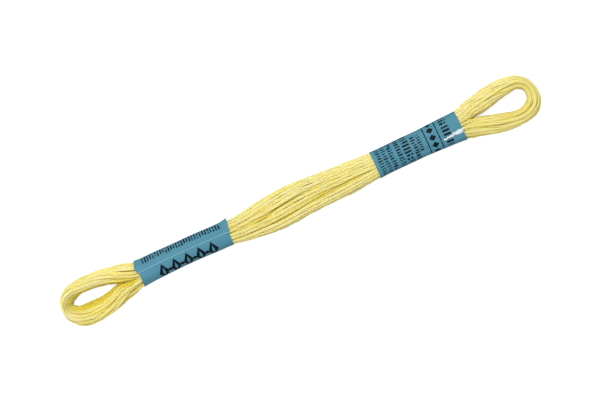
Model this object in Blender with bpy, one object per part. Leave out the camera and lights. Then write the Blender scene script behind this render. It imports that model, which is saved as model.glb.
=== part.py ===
"""A hank of six-strand embroidery floss in two paper bands, lying flat on a surface.

The floss is one length of thread wound many times round into a long flat ring. The two arms of
the ring run side by side through both bands, swell into a belly between them, and open into a
loop with an eye at each end. The turns show on the solid as shallow flutes, one for each turn
that lies at the surface.

Metres, +Z up. +X runs along the hank and +Y across it, to the side that the text calls left.
The origin is the middle of the hank's footprint, on the surface that it lies on. Sizes in the
tables are in millimetres.
"""

from typing import NamedTuple

import bmesh
import bpy
import numpy as np

MM = 0.001

# ---------------------------------------------------------------- driving sizes, in millimetres

PAPER = 0.35  # wall of a band: the paper, with the size that a solid wall needs
OVERLAP_STEP = 0.12  # how far the glued overlap stands out from the rest of a band
GAP = 0.3  # clearance between a band and the floss in it
FLARE = 0.85  # length over which the floss spreads to its full size outside a band
FLARE_START = 0.15  # how far outside a band's edge that spread starts
FLUTE_DEPTH = 0.28  # depth of the furrow between two turns at the surface

BUNDLE_SHAPE = 2.35  # exponent of the bundle's oval section: 2 is an ellipse, more is boxier
ARM_SHAPE = 2.1  # the same for one arm of the ring
BAND_SHAPE = 2.35  # the same for a paper band

# ---------------------------------------------------------------- how finely the solids are cut

ARM_POINTS = 28  # points round the section of one arm: 14 flutes
HALF_POINTS = ARM_POINTS - 1  # those of them that stay on the surface where the arms have joined
BUNDLE_POINTS = 2 * HALF_POINTS - 2  # points round the joined section: 26 flutes
THROAT_STEPS = 4  # sections between a loop and the band next to it
BAND_STEPS = 5  # sections of the floss inside a band
BELLY_STEPS = 22  # sections of the belly
LOOP_STEPS = 29  # sections round a loop
SLEEVE_POINTS = 40  # points round a band
SLEEVE_STEPS = 5  # sections along a band


class Bundle(NamedTuple):
    """One section of the joined arms, across X. left and right are the sides seen from above."""

    x: float
    left: float
    part: float  # where the arms meet
    right: float
    bottom: float  # a section that would reach below the surface is flat there
    top: float
    split: float  # 0 where the arms are one bundle, 1 where they are two ovals that touch
    turn: float  # how far the flutes have turned about the bundle, in degrees


class Bend(NamedTuple):
    """One section of a loop: its outer and inner edge, seen from above."""

    outer_x: float
    outer_y: float
    inner_x: float
    inner_y: float
    bottom: float
    top: float
    lean: float  # how far the top lies further out than the bottom


class Sleeve(NamedTuple):
    """One section of a paper band, across X."""

    x: float
    left: float
    right: float
    top: float
    skew: float  # how far the section lies ahead along X for each millimetre of Y


BUNDLE = (
    Bundle(x=-59.3, left=6.00, part=0.55, right=-5.65, bottom=-0.32, top=5.9, split=1.00, turn=8),
    Bundle(x=-57.0, left=5.60, part=0.25, right=-5.00, bottom=-0.20, top=6.1, split=0.80, turn=8),
    Bundle(x=-54.6, left=4.95, part=-0.25, right=-4.35, bottom=0.00, top=6.3, split=0.50, turn=8),
    Bundle(x=-53.5, left=4.65, part=-0.45, right=-4.05, bottom=0.10, top=6.4, split=0.35, turn=8),
    Bundle(x=-46.0, left=3.70, part=-0.40, right=-2.80, bottom=0.40, top=6.2, split=0.00, turn=7),
    Bundle(x=-30.0, left=3.60, part=-0.10, right=-2.80, bottom=0.40, top=6.2, split=0.00, turn=8),
    Bundle(x=-21.4, left=3.80, part=0.10, right=-4.00, bottom=0.15, top=6.3, split=0.00, turn=10),
    Bundle(x=-18.0, left=4.08, part=0.10, right=-4.60, bottom=-0.20, top=6.3, split=0.00, turn=10),
    Bundle(x=-14.0, left=4.75, part=0.10, right=-5.18, bottom=-0.36, top=6.3, split=0.00, turn=9),
    Bundle(x=-9.5, left=5.35, part=0.10, right=-5.65, bottom=-0.38, top=6.4, split=0.00, turn=5),
    Bundle(x=-4.0, left=5.78, part=0.10, right=-5.62, bottom=-0.38, top=6.4, split=0.00, turn=-2),
    Bundle(x=1.0, left=5.65, part=0.10, right=-5.15, bottom=-0.38, top=6.3, split=0.00, turn=-8),
    Bundle(x=6.0, left=5.28, part=0.10, right=-4.95, bottom=-0.38, top=6.3, split=0.00, turn=-12),
    Bundle(x=12.0, left=4.90, part=0.10, right=-4.82, bottom=-0.36, top=6.2, split=0.00, turn=-14),
    Bundle(x=18.0, left=4.52, part=0.10, right=-4.62, bottom=-0.20, top=6.3, split=0.00, turn=-13),
    Bundle(x=23.4, left=4.20, part=0.10, right=-4.22, bottom=0.15, top=6.4, split=0.00, turn=-10),
    Bundle(x=31.0, left=3.60, part=0.10, right=-3.40, bottom=0.40, top=6.1, split=0.00, turn=-5),
    Bundle(x=46.0, left=3.70, part=0.00, right=-3.50, bottom=0.40, top=6.2, split=0.00, turn=0),
    Bundle(x=53.6, left=5.05, part=-0.05, right=-4.80, bottom=0.10, top=6.4, split=0.40, turn=0),
    Bundle(x=55.6, left=5.70, part=-0.15, right=-5.25, bottom=0.00, top=6.2, split=0.75, turn=0),
    Bundle(x=57.9, left=6.30, part=-0.20, right=-5.80, bottom=-0.32, top=5.9, split=1.00, turn=0),
)

# Each loop starts and ends at the bundle's last section on its side, left arm first.
LEFT_LOOP = (
    Bend(-63.0, 6.50, -62.3, 1.45, bottom=-0.36, top=6.1, lean=0.0),
    Bend(-66.8, 6.82, -66.0, 2.10, bottom=-0.36, top=6.2, lean=0.0),
    Bend(-70.6, 6.72, -69.5, 2.35, bottom=-0.36, top=6.3, lean=0.0),
    Bend(-74.2, 5.85, -72.2, 1.90, bottom=-0.34, top=6.4, lean=0.0),
    Bend(-76.9, 3.50, -73.8, 1.00, bottom=-0.34, top=6.4, lean=0.2),
    Bend(-78.0, 0.10, -74.2, 0.40, bottom=-0.34, top=6.3, lean=0.5),
    Bend(-77.4, -3.10, -73.7, -0.15, bottom=-0.36, top=6.1, lean=0.8),
    Bend(-75.4, -5.60, -72.1, -0.60, bottom=-0.36, top=5.8, lean=1.1),
    Bend(-71.8, -7.20, -69.3, -0.75, bottom=-0.36, top=5.6, lean=1.2),
    Bend(-67.5, -7.30, -66.2, -0.75, bottom=-0.36, top=5.6, lean=1.0),
    Bend(-63.2, -6.65, -62.6, -0.25, bottom=-0.36, top=5.7, lean=0.5),
)
RIGHT_LOOP = (
    Bend(62.5, 7.20, 61.5, 0.70, bottom=-0.36, top=5.9, lean=0.0),
    Bend(66.5, 7.62, 65.5, 1.65, bottom=-0.36, top=5.9, lean=0.0),
    Bend(70.5, 7.50, 69.4, 2.40, bottom=-0.36, top=6.1, lean=0.0),
    Bend(74.2, 6.30, 72.0, 2.85, bottom=-0.34, top=6.3, lean=0.0),
    Bend(76.9, 3.70, 73.7, 2.00, bottom=-0.34, top=6.4, lean=0.0),
    Bend(78.0, -0.30, 74.1, 0.30, bottom=-0.34, top=6.4, lean=0.0),
    Bend(77.4, -3.80, 73.6, -1.25, bottom=-0.34, top=6.3, lean=0.0),
    Bend(75.1, -6.35, 72.0, -2.50, bottom=-0.34, top=6.1, lean=0.0),
    Bend(71.3, -7.50, 69.6, -2.90, bottom=-0.36, top=6.0, lean=0.0),
    Bend(66.8, -7.65, 66.4, -2.15, bottom=-0.36, top=5.9, lean=0.0),
    Bend(62.3, -7.05, 62.3, -0.90, bottom=-0.36, top=5.9, lean=0.0),
)

LEFT_BAND = (
    Sleeve(x=-52.4, left=4.35, right=-3.80, top=6.90, skew=0.06),
    Sleeve(x=-44.0, left=4.32, right=-3.45, top=6.85, skew=0.04),
    Sleeve(x=-36.0, left=4.28, right=-3.32, top=6.80, skew=0.04),
    Sleeve(x=-29.0, left=4.12, right=-3.60, top=6.80, skew=0.08),
    Sleeve(x=-22.7, left=4.40, right=-3.65, top=6.90, skew=0.13),
)
RIGHT_BAND = (
    Sleeve(x=24.6, left=4.12, right=-4.15, top=6.80, skew=0.03),
    Sleeve(x=32.0, left=4.18, right=-4.05, top=6.80, skew=0.02),
    Sleeve(x=40.0, left=4.25, right=-4.08, top=6.82, skew=0.01),
    Sleeve(x=47.0, left=4.48, right=-4.30, top=6.88, skew=0.00),
    Sleeve(x=52.6, left=4.70, right=-4.60, top=6.95, skew=0.00),
)
BAND_BOTTOM = -0.2  # a band is flat underneath, where its oval would reach below the surface

# The angles at which a band's overlap starts, at its free edge, and ends, in degrees from the
# left side towards the top.
LEFT_OVERLAP = (80.0, -55.0)
RIGHT_OVERLAP = (-130.0, -215.0)

FLOSS_COLOUR = (0.84, 0.72, 0.24)
PAPER_COLOUR = (0.09, 0.28, 0.38)


# ---------------------------------------------------------------- curves and sections


def smooth(knots: np.ndarray, values: np.ndarray, at: np.ndarray) -> np.ndarray:
    """Cubic Hermite curve through values at knots, each slope that of the parabola through a
    knot and its two neighbours."""
    slopes = np.gradient(values, knots, axis=0)
    span = np.clip(np.searchsorted(knots, at, side="right") - 1, 0, len(knots) - 2)
    width = (knots[span + 1] - knots[span])[:, None]
    t = (at - knots[span])[:, None] / width
    return (
        (2 * t**3 - 3 * t**2 + 1) * values[span]
        + (t**3 - 2 * t**2 + t) * width * slopes[span]
        + (3 * t**2 - 2 * t**3) * values[span + 1]
        + (t**3 - t**2) * width * slopes[span + 1]
    )


def row_at(rows: tuple, x: float) -> NamedTuple:
    """The row that a table, sorted by its first column, gives at x."""
    table = np.array(rows)
    found = smooth(table[:, 0], table[:, 1:], np.array([x]))[0]
    return type(rows[0])(x, *found)


def oval(angle: np.ndarray, shape: float) -> np.ndarray:
    """Points of the unit superellipse |y|^shape + |z|^shape = 1, as columns y and z."""
    both = np.stack([np.cos(angle), np.sin(angle)], axis=-1)
    return np.sign(both) * np.abs(both) ** (2 / shape)


def span_of(band: tuple) -> tuple[float, float]:
    """The lowest and highest X that a band reaches, with its skewed ends."""
    corners = [row.x + row.skew * y for row in band for y in (row.left, row.right)]
    return min(corners), max(corners)


# ---------------------------------------------------------------- the floss


def stations() -> list[float]:
    """Where the bundle's sections lie along X, from the left loop to the right one."""
    (start_a, end_a), (start_b, end_b) = span_of(LEFT_BAND), span_of(RIGHT_BAND)
    reach = FLARE_START + FLARE
    runs = (
        (BUNDLE[0].x, start_a - reach, THROAT_STEPS),
        (start_a - FLARE_START, end_a + FLARE_START, BAND_STEPS),
        (end_a + reach, start_b - reach, BELLY_STEPS),
        (start_b - FLARE_START, end_b + FLARE_START, BAND_STEPS),
        (end_b + reach, BUNDLE[-1].x, THROAT_STEPS),
    )
    return [float(x) for first, last, steps in runs for x in np.linspace(first, last, steps + 1)]


def bundle_row(x: float) -> tuple[Bundle, float]:
    """The bundle's section at x, and the height below which it is cut flat. Inside a band it is
    the band's own oval, less the paper and the clearance."""
    row = row_at(BUNDLE, x)
    for band in (LEFT_BAND, RIGHT_BAND):
        low, high = span_of(band)
        if low - FLARE_START - 1e-6 <= x <= high + FLARE_START + 1e-6:
            around = row_at(band, min(max(x, band[0].x), band[-1].x))
            inset = PAPER + GAP
            return (
                row._replace(
                    left=around.left - inset,
                    right=around.right + inset,
                    bottom=BAND_BOTTOM + inset,
                    top=around.top - inset,
                    split=0.0,
                ),
                inset,
            )
    return row, 0.0


def bundle_ring(x: float) -> np.ndarray:
    """Points round the bundle at x: down the left arm's side from the top furrow to the bottom
    one, then up the right arm's side. Joined, they lie on one oval, and split, on two."""
    row, floor = bundle_row(x)
    columns = np.arange(BUNDLE_POINTS)
    on_left = columns < HALF_POINTS
    depth = np.where(columns % 2 == 0, FLUTE_DEPTH, 0.0)  # every second point lies in a furrow
    half_height = (row.top - row.bottom) / 2 - depth

    joined = oval(
        np.radians(90 + row.turn) - 2 * np.pi * columns / BUNDLE_POINTS, BUNDLE_SHAPE
    )
    joined_y = (row.left + row.right) / 2 + ((row.left - row.right) / 2 - depth) * joined[:, 0]

    step = np.where(on_left, columns, BUNDLE_POINTS - columns)  # counted down from the top
    arm = oval(np.pi - 2 * np.pi * (step + 1) / ARM_POINTS, ARM_SHAPE)
    edge = np.where(on_left, row.left, row.right)
    outward = np.where(on_left, 1.0, -1.0)
    arm_half = np.abs(edge - row.part) / 2 - depth
    split_y = (edge + row.part) / 2 + outward * arm_half * arm[:, 0]
    split_y[[0, HALF_POINTS - 1]] = row.part

    y = (1 - row.split) * joined_y + row.split * split_y
    z = (row.top + row.bottom) / 2 + half_height * (
        (1 - row.split) * joined[:, 1] + row.split * arm[:, 1]
    )
    return np.stack([np.full(BUNDLE_POINTS, x), y, np.maximum(z, floor)], axis=-1)


def loop_rings(rows: tuple, root: Bundle) -> np.ndarray:
    """Points round each section of a loop, from the left arm round to the right one. A ring
    starts at the inner edge and goes over the top to the outer edge, and back underneath."""
    part, height = root.part, (root.bottom, root.top)
    table = np.array(
        [
            Bend(root.x, root.left, root.x, part, *height, lean=0.0),
            *rows,
            Bend(root.x, root.right, root.x, part, *height, lean=0.0),
        ]
    )
    middle = (table[:, 0:2] + table[:, 2:4]) / 2
    along = np.concatenate([[0], np.cumsum(np.linalg.norm(np.diff(middle, axis=0), axis=1))])
    at = np.linspace(0, along[-1], LOOP_STEPS + 1)[1:-1]
    outer_x, outer_y, inner_x, inner_y, bottom, top, lean = smooth(along, table, at).T

    ring = np.arange(ARM_POINTS)
    depth = np.where(ring % 2 == 1, FLUTE_DEPTH, 0.0)
    unit = oval(np.pi - 2 * np.pi * ring / ARM_POINTS, ARM_SHAPE)
    outward = np.stack([outer_x - inner_x, outer_y - inner_y], axis=-1)
    width = np.linalg.norm(outward, axis=1)
    outward /= width[:, None]
    across = (width[:, None] / 2 - depth) * unit[:, 0] + lean[:, None] / 2 * unit[:, 1]
    centre = np.stack([outer_x + inner_x, outer_y + inner_y], axis=-1) / 2
    flat = centre[:, None, :] + across[:, :, None] * outward[:, None, :]
    z = ((top + bottom) / 2)[:, None] + (((top - bottom) / 2)[:, None] - depth) * unit[:, 1]
    return np.concatenate([flat, np.maximum(z, 0.0)[:, :, None]], axis=-1)


def loft(bm: bmesh.types.BMesh, rings: list) -> None:
    """Joins each closed ring of vertices to the next with a belt of quads."""
    for ring, following in zip(rings, rings[1:]):
        for j, vertex in enumerate(ring):
            k = (j + 1) % len(ring)
            bm.faces.new((vertex, ring[k], following[k], following[j]))


def add_vertices(bm: bmesh.types.BMesh, points: np.ndarray) -> list:
    """New vertices at points given in millimetres."""
    return [bm.verts.new(point) for point in points * MM]


def build_floss() -> bpy.types.Object:
    """The hank: the joined bundle, and at each end a loop that leaves it by the left arm and
    comes back by the right one. The two arms share the crotch at their root."""
    bm = bmesh.new()
    bundle = [add_vertices(bm, bundle_ring(x)) for x in stations()]
    loft(bm, bundle)
    for root_ring, root, rows in (
        (bundle[0], BUNDLE[0], LEFT_LOOP),
        (bundle[-1], BUNDLE[-1], RIGHT_LOOP),
    ):
        crotch_height = (root.top + root.bottom) / 2
        crotch = add_vertices(bm, np.array([[root.x, root.part, crotch_height]]))
        left_arm = crotch + root_ring[:HALF_POINTS]
        right_arm = crotch + root_ring[:1] + root_ring[: HALF_POINTS - 2 : -1]
        rings = [add_vertices(bm, ring) for ring in loop_rings(rows, root)]
        loft(bm, [left_arm, *rings, right_arm])
    return finish("floss_hank", bm, FLOSS_COLOUR, roughness=0.75)


# ---------------------------------------------------------------- the paper bands


def sleeve_angles(free_edge: float) -> np.ndarray:
    """Angles of a band's points, with one more close beside the overlap's free edge, so that
    the step there is sharp."""
    angles = free_edge + 360 * np.arange(SLEEVE_POINTS) / SLEEVE_POINTS
    return np.radians(np.concatenate([angles[:1], [free_edge + 0.5], angles[1:]]))


def build_band(name: str, rows: tuple, overlap: tuple[float, float]) -> bpy.types.Object:
    """A paper band: a sleeve round the bundle, open at both ends. Where it overlaps itself its
    outside stands out, by the whole step at the free edge and less and less up to the end
    underneath."""
    free_edge, under_edge = overlap
    angle = sleeve_angles(free_edge)
    covered = (free_edge - np.degrees(angle)) % 360
    reach = free_edge - under_edge
    raised = OVERLAP_STEP * np.clip(1 - covered / reach, 0, 1)
    raised[1] = 0.0
    unit = oval(angle, BAND_SHAPE)

    bm = bmesh.new()
    belts = []
    for offset, floor in ((raised, 0.0), (np.full(len(angle), -PAPER), PAPER)):
        rings = []
        for x in np.linspace(rows[0].x, rows[-1].x, SLEEVE_STEPS + 1):
            row = row_at(rows, float(x))
            y = (row.left + row.right) / 2 + ((row.left - row.right) / 2 + offset) * unit[:, 0]
            z = (row.top + BAND_BOTTOM) / 2 + ((row.top - BAND_BOTTOM) / 2 + offset) * unit[:, 1]
            points = np.stack([x + row.skew * y, y, np.maximum(z, floor)], axis=-1)
            rings.append(add_vertices(bm, points))
        belts.append(rings)
    outside, inside = belts
    loft(bm, [*outside, *inside[::-1], outside[0]])
    return finish(name, bm, PAPER_COLOUR, roughness=0.6)


# ---------------------------------------------------------------- finishing


def finish(
    name: str, bm: bmesh.types.BMesh, colour: tuple[float, float, float], roughness: float
) -> bpy.types.Object:
    """Makes an object of the mesh, with its faces pointing out and a material of its own."""
    bmesh.ops.recalc_face_normals(bm, faces=bm.faces)
    mesh = bpy.data.meshes.new(name)
    bm.to_mesh(mesh)
    bm.free()
    mesh.shade_smooth()
    mesh.set_sharp_from_angle(angle=np.radians(30))
    material = bpy.data.materials.new(name)
    material.use_nodes = True
    shader = material.node_tree.nodes["Principled BSDF"]
    shader.inputs["Base Color"].default_value = (*colour, 1.0)
    shader.inputs["Roughness"].default_value = roughness
    shader.inputs["Metallic"].default_value = 0.0
    mesh.materials.append(material)
    made = bpy.data.objects.new(name, mesh)
    bpy.context.scene.collection.objects.link(made)
    return made


def main() -> None:
    """Clears the scene and builds the floss and its two bands."""
    for old in list(bpy.data.objects):
        bpy.data.objects.remove(old, do_unlink=True)
    build_floss()
    build_band("band_left", LEFT_BAND, LEFT_OVERLAP)
    build_band("band_right", RIGHT_BAND, RIGHT_OVERLAP)


main()
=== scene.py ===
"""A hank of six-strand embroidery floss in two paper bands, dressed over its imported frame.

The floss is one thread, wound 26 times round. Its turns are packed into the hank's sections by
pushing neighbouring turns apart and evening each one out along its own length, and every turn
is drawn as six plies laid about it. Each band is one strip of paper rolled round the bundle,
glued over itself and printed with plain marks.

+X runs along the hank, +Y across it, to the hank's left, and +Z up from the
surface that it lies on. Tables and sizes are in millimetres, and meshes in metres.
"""

from __future__ import annotations

import logging
import math
from collections.abc import Iterable
from dataclasses import dataclass
from enum import Enum
from typing import ClassVar, NamedTuple

import bpy
import numpy as np
from bpy.types import Material, Mesh, NodeSocket, NodeTree, Object
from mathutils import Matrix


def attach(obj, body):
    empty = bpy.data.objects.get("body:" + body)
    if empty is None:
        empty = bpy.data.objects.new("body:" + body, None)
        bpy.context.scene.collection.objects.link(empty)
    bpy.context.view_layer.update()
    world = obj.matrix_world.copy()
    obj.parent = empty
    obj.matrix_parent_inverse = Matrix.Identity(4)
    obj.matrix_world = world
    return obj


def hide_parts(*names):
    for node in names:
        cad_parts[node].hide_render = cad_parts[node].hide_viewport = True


LOG = logging.getLogger("floss")
MM = 0.001
BODY = "root"
BAKE_MAP = "OFBake"  # the name of the UV map laid out for baking; the name that the export looks for
FULL_TURN = 2 * math.pi
Array = np.ndarray

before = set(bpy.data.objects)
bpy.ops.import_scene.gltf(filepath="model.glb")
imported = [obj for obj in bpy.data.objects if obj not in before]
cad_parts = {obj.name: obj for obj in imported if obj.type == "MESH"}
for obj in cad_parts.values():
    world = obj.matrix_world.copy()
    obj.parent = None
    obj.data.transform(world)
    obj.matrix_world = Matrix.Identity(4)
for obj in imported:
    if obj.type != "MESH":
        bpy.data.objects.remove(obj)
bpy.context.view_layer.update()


# ---------------------------------------------------------------- the hank's form


class Bundle(NamedTuple):
    """One section of the joined arms, square to X, in millimetres."""

    x: float
    left: float
    part: float
    right: float
    bottom: float
    top: float
    split: float
    turn: float
    floor: float
    lean: float = 0.0


class Parting(NamedTuple):
    """A furrow between two turns on top of the bundle, as points of X and Y in millimetres.

    The lower its lift, the further it parts the turns. It runs out at both ends.
    """

    lift: float
    route: tuple[tuple[float, float], ...]


class Bend(NamedTuple):
    """One section of a loop, from its inner edge to its outer edge, in millimetres."""

    outer_x: float
    outer_y: float
    inner_x: float
    inner_y: float
    bottom: float
    top: float
    lean: float = 0.0


PAPER = 0.12
PRESS = 0.02  # what the floss stays clear of the paper by
GLUE = 0.01  # what lies between the strip and its own start
SLIP = PAPER + PRESS  # the floss in a band lies on the paper, and not on the surface

BUNDLE = tuple(
    Bundle(*sizes)
    for sizes in (
        # x, left, part, right, bottom, top, split, turn, floor, lean
        (-59.3, 6.00, 0.40, -5.68, -0.32, 6.0, 0.90, 12, 0.0, 1.3),
        (-57.0, 5.60, 0.05, -5.02, -0.20, 6.2, 0.60, 13, 0.0, 1.0),
        (-54.6, 4.95, -0.40, -4.38, -0.10, 6.4, 0.30, 14, 0.05, 0.5),
        (-53.0, 4.36, -0.55, -3.80, -0.06, 6.6, 0.12, 14, SLIP),
        (-51.0, 4.17, -0.40, -3.55, -0.06, 6.65, 0.05, 13, SLIP),
        (-46.0, 4.14, -0.40, -3.30, -0.06, 6.65, 0.00, 12, SLIP),
        (-39.0, 4.07, -0.20, -3.12, -0.06, 6.60, 0.00, 11, SLIP),
        (-33.0, 4.04, -0.10, -3.22, -0.06, 6.60, 0.00, 12, SLIP),
        (-27.0, 3.82, 0.00, -3.45, -0.06, 6.65, 0.00, 13, SLIP),
        (-23.2, 3.66, 0.10, -3.60, -0.06, 6.60, 0.00, 13.5, SLIP),
        (-21.4, 3.78, 0.10, -3.98, -0.12, 6.50, 0.00, 13, 0.05),
        (-18.0, 4.10, 0.10, -4.62, -0.30, 6.4, 0.00, 12, 0.0),
        (-14.0, 4.78, 0.10, -5.20, -0.36, 6.4, 0.00, 9.5, 0.0),
        (-9.5, 5.38, 0.10, -5.67, -0.38, 6.4, 0.00, 6.5, 0.0),
        (-4.0, 5.80, 0.10, -5.65, -0.38, 6.4, 0.00, 3, 0.0),
        (1.0, 5.68, 0.10, -5.18, -0.38, 6.4, 0.00, -0.5, 0.0),
        (6.0, 5.32, 0.10, -4.97, -0.38, 6.3, 0.00, -4, 0.0),
        (12.0, 4.92, 0.10, -4.85, -0.36, 6.3, 0.00, -8, 0.0),
        (18.0, 4.52, 0.10, -4.65, -0.30, 6.4, 0.00, -12, 0.0),
        (23.0, 4.15, 0.10, -4.20, -0.12, 6.5, 0.00, -13.5, 0.05),
        (25.6, 4.02, 0.10, -3.92, -0.06, 6.60, 0.00, -13, SLIP),
        (32.0, 4.04, 0.10, -3.80, -0.06, 6.60, 0.00, -9, SLIP),
        (40.0, 4.08, 0.05, -3.80, -0.06, 6.62, 0.00, -4, SLIP),
        (47.0, 4.34, 0.00, -4.02, -0.06, 6.66, 0.05, -1, SLIP),
        (51.5, 4.52, 0.10, -4.30, -0.06, 6.68, 0.02, 0, SLIP),
        (52.7, 4.62, 0.20, -4.42, -0.06, 6.64, 0.05, 0, SLIP),
        (53.9, 5.05, 0.25, -4.84, -0.12, 6.5, 0.10, 0, 0.05),
        (55.6, 5.72, 0.35, -5.30, -0.25, 6.2, 0.35, 0, 0.0),
        (57.9, 6.32, 0.40, -5.84, -0.32, 5.9, 1.00, 0, 0.0),
    )
)

PARTINGS = (
    Parting(0.02, ((-20, 0.10), (-12, 0.33), (-5, 0.93), (-1, 1.35), (3.5, 1.6))),
    Parting(0.03, ((1, 1.50), (7, 1.90), (12, 2.20), (17.5, 2.15))),
    Parting(0.18, ((-17, -0.8), (-12, -0.9), (-8, -0.6), (-2, 0.0), (2.5, 0.25))),
    Parting(0.24, ((-17, -2.0), (-9, -1.85), (-3, -1.5), (1, -1.15))),
    Parting(0.25, ((-1, -1.2), (6, -0.7), (12, -0.45))),
    Parting(0.02, ((-21, -2.7), (-14, -2.95), (-8, -2.9), (-3, -2.5), (1, -2.2))),
    Parting(-0.10, ((-1, -2.3), (6, -1.8), (12, -1.55), (19, -1.10), (25, -0.9))),
    Parting(0.28, ((-23, 1.1), (-15, 1.5), (-8, 1.95), (-4, 2.3))),
)

# Each loop starts and ends at the bundle's last section on its side, left arm first.
LEFT_LOOP, RIGHT_LOOP = (
    tuple(Bend(*sizes) for sizes in loop)
    for loop in (
        # outer x, outer y, inner x, inner y, bottom, top, lean
        (
            (-63.0, 6.50, -62.3, 1.35, -0.36, 6.1, 0.0),
            (-66.8, 6.82, -66.0, 2.00, -0.36, 6.2, 0.0),
            (-70.6, 6.72, -69.5, 2.25, -0.36, 6.3, 0.0),
            (-74.05, 5.70, -72.25, 1.85, -0.34, 6.4, 1.5),
            (-76.45, 3.20, -74.15, 1.15, -0.34, 6.4, 2.5),
            (-77.25, 0.12, -74.85, 0.22, -0.34, 6.3, 2.8),
            (-76.95, -2.90, -74.05, -0.60, -0.36, 6.1, 3.0),
            (-75.3, -5.45, -72.3, -1.05, -0.36, 5.9, 2.9),
            (-71.8, -6.95, -69.4, -1.25, -0.36, 5.8, 3.0),
            (-67.5, -7.05, -66.3, -1.20, -0.36, 5.8, 2.6),
            (-63.2, -6.50, -62.7, -0.60, -0.36, 5.9, 1.9),
        ),
        (
            (62.5, 7.20, 61.5, 0.70, -0.36, 5.9),
            (66.5, 7.62, 65.5, 1.65, -0.36, 5.9),
            (70.5, 7.50, 69.4, 2.40, -0.36, 6.1),
            (74.2, 6.30, 72.0, 2.85, -0.34, 6.3),
            (76.9, 3.70, 73.7, 2.00, -0.34, 6.4),
            (78.0, -0.30, 74.1, 0.30, -0.34, 6.4),
            (77.4, -3.80, 73.6, -1.25, -0.34, 6.3),
            (75.1, -6.35, 72.0, -2.50, -0.34, 6.1),
            (71.3, -7.50, 69.6, -2.90, -0.36, 6.0),
            (66.8, -7.65, 66.4, -2.15, -0.36, 5.9),
            (62.3, -7.05, 62.3, -0.90, -0.36, 5.9),
        ),
    )
)

# Where along X the bands hide the floss for certain, and where the loops begin.
HIDDEN = ((-51, -25), (27, 51))
LOOPS_FROM = 60  # to either side of the middle

# How much of the painted golden shade shows, at places along the hank: painted shade in the
# furrows, on the eyes' walls, and on the side away from the lamp, which also depends on Y.
FURROW_SHADE_SHARE = ((-74, -70, 50, 54), (0.3, 1.0, 1.0, 0.6))
WALL_SHADE_SHARE = ((-75, -71, -1, 1), (0.6, 1.0, 1.0, 0.35))
LEE_SHADE_SHARE = ((-76, -73, -56, -50, 50, 56), (0.0, 0.20, 0.20, 0.0, 0.0, 0.15))
LEE_SHADE_SIDE = ((-3, -0.5), (1, 0))

BUNDLE_SHAPE = 2.35  # exponent of the bundle's oval section: 2 is an ellipse, more is boxier
ARM_SHAPE = 2.1


def smooth_through(knots: Array, values: Array, at: Array) -> Array:
    """Runs a smooth curve through values at knots.

    Between two knots the curve is the cubic that meets both values, with the slope at each knot
    that a parabola through it and its neighbours has there.

    Args:
        knots: Where the values are, in rising order.
        values: One row for each knot.
        at: Where the curve is wanted.

    Returns:
        One row for each place in at.
    """
    slopes = np.gradient(values, knots, axis=0)
    span = np.clip(np.searchsorted(knots, at, side="right") - 1, 0, len(knots) - 2)
    width = (knots[span + 1] - knots[span])[:, None]
    t = (at - knots[span])[:, None] / width
    return (
        (2 * t**3 - 3 * t**2 + 1) * values[span]
        + (t**3 - 2 * t**2 + t) * width * slopes[span]
        + (3 * t**2 - 2 * t**3) * values[span + 1]
        + (t**3 - t**2) * width * slopes[span + 1]
    )


def drift(seed: int, count: int, at: Array, reach: float) -> Array:
    """Makes smooth random curves, each through normal random values at knots one reach apart.

    Args:
        seed: Seed of the random values.
        count: How many curves.
        at: Where the curves are wanted, in the unit of reach.
        reach: Distance between knots.

    Returns:
        One column for each curve and one row for each place in at.
    """
    knots = np.arange(float(at.min()) - reach, float(at.max()) + 2 * reach, reach)
    values = np.random.default_rng(seed).normal(0.0, 1.0, (len(knots), count))
    return smooth_through(knots, values, at)


def reach_in(shape: float, across: Array, up: Array) -> Array:
    """How far out places are in a superellipse: the root of the sum of their powers, 1 at its edge."""
    return (np.abs(across) ** shape + np.abs(up) ** shape) ** (1 / shape)


def square_off(across: Array, up: Array, shape: float) -> tuple[Array, Array]:
    """Spreads the unit disc until it fills a superellipse.

    A point moves straight out from the middle, by its distance from there over its reach.

    Args:
        across: First coordinate in the disc.
        up: Second coordinate in the disc.
        shape: The superellipse's exponent.

    Returns:
        The two coordinates in the superellipse.
    """
    scale = np.hypot(across, up) / np.maximum(reach_in(shape, across, up), 1e-9)
    return across * scale, up * scale


def middle_and_half(high: Array, low: Array) -> Array:
    """Middle and half width of each span, on a last axis."""
    return np.stack([(high + low) / 2, (high - low) / 2], axis=-1)


def lengths_along(points: Array) -> Array:
    """How far along a line of points each one is."""
    return np.concatenate([[0], np.cumsum(np.linalg.norm(np.diff(points, axis=0), axis=1))])


def fade(value: Array, start: float, over: float) -> Array:
    """0 where the value is above start, and 1 where it is lower than that by over or more."""
    return np.clip((start - value) / over, 0, 1)


def in_a_band(x: Array) -> Array:
    """Whether places along X are hidden by a band."""
    return np.any([(x > low) & (x < high) for low, high in HIDDEN], axis=0)


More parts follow.
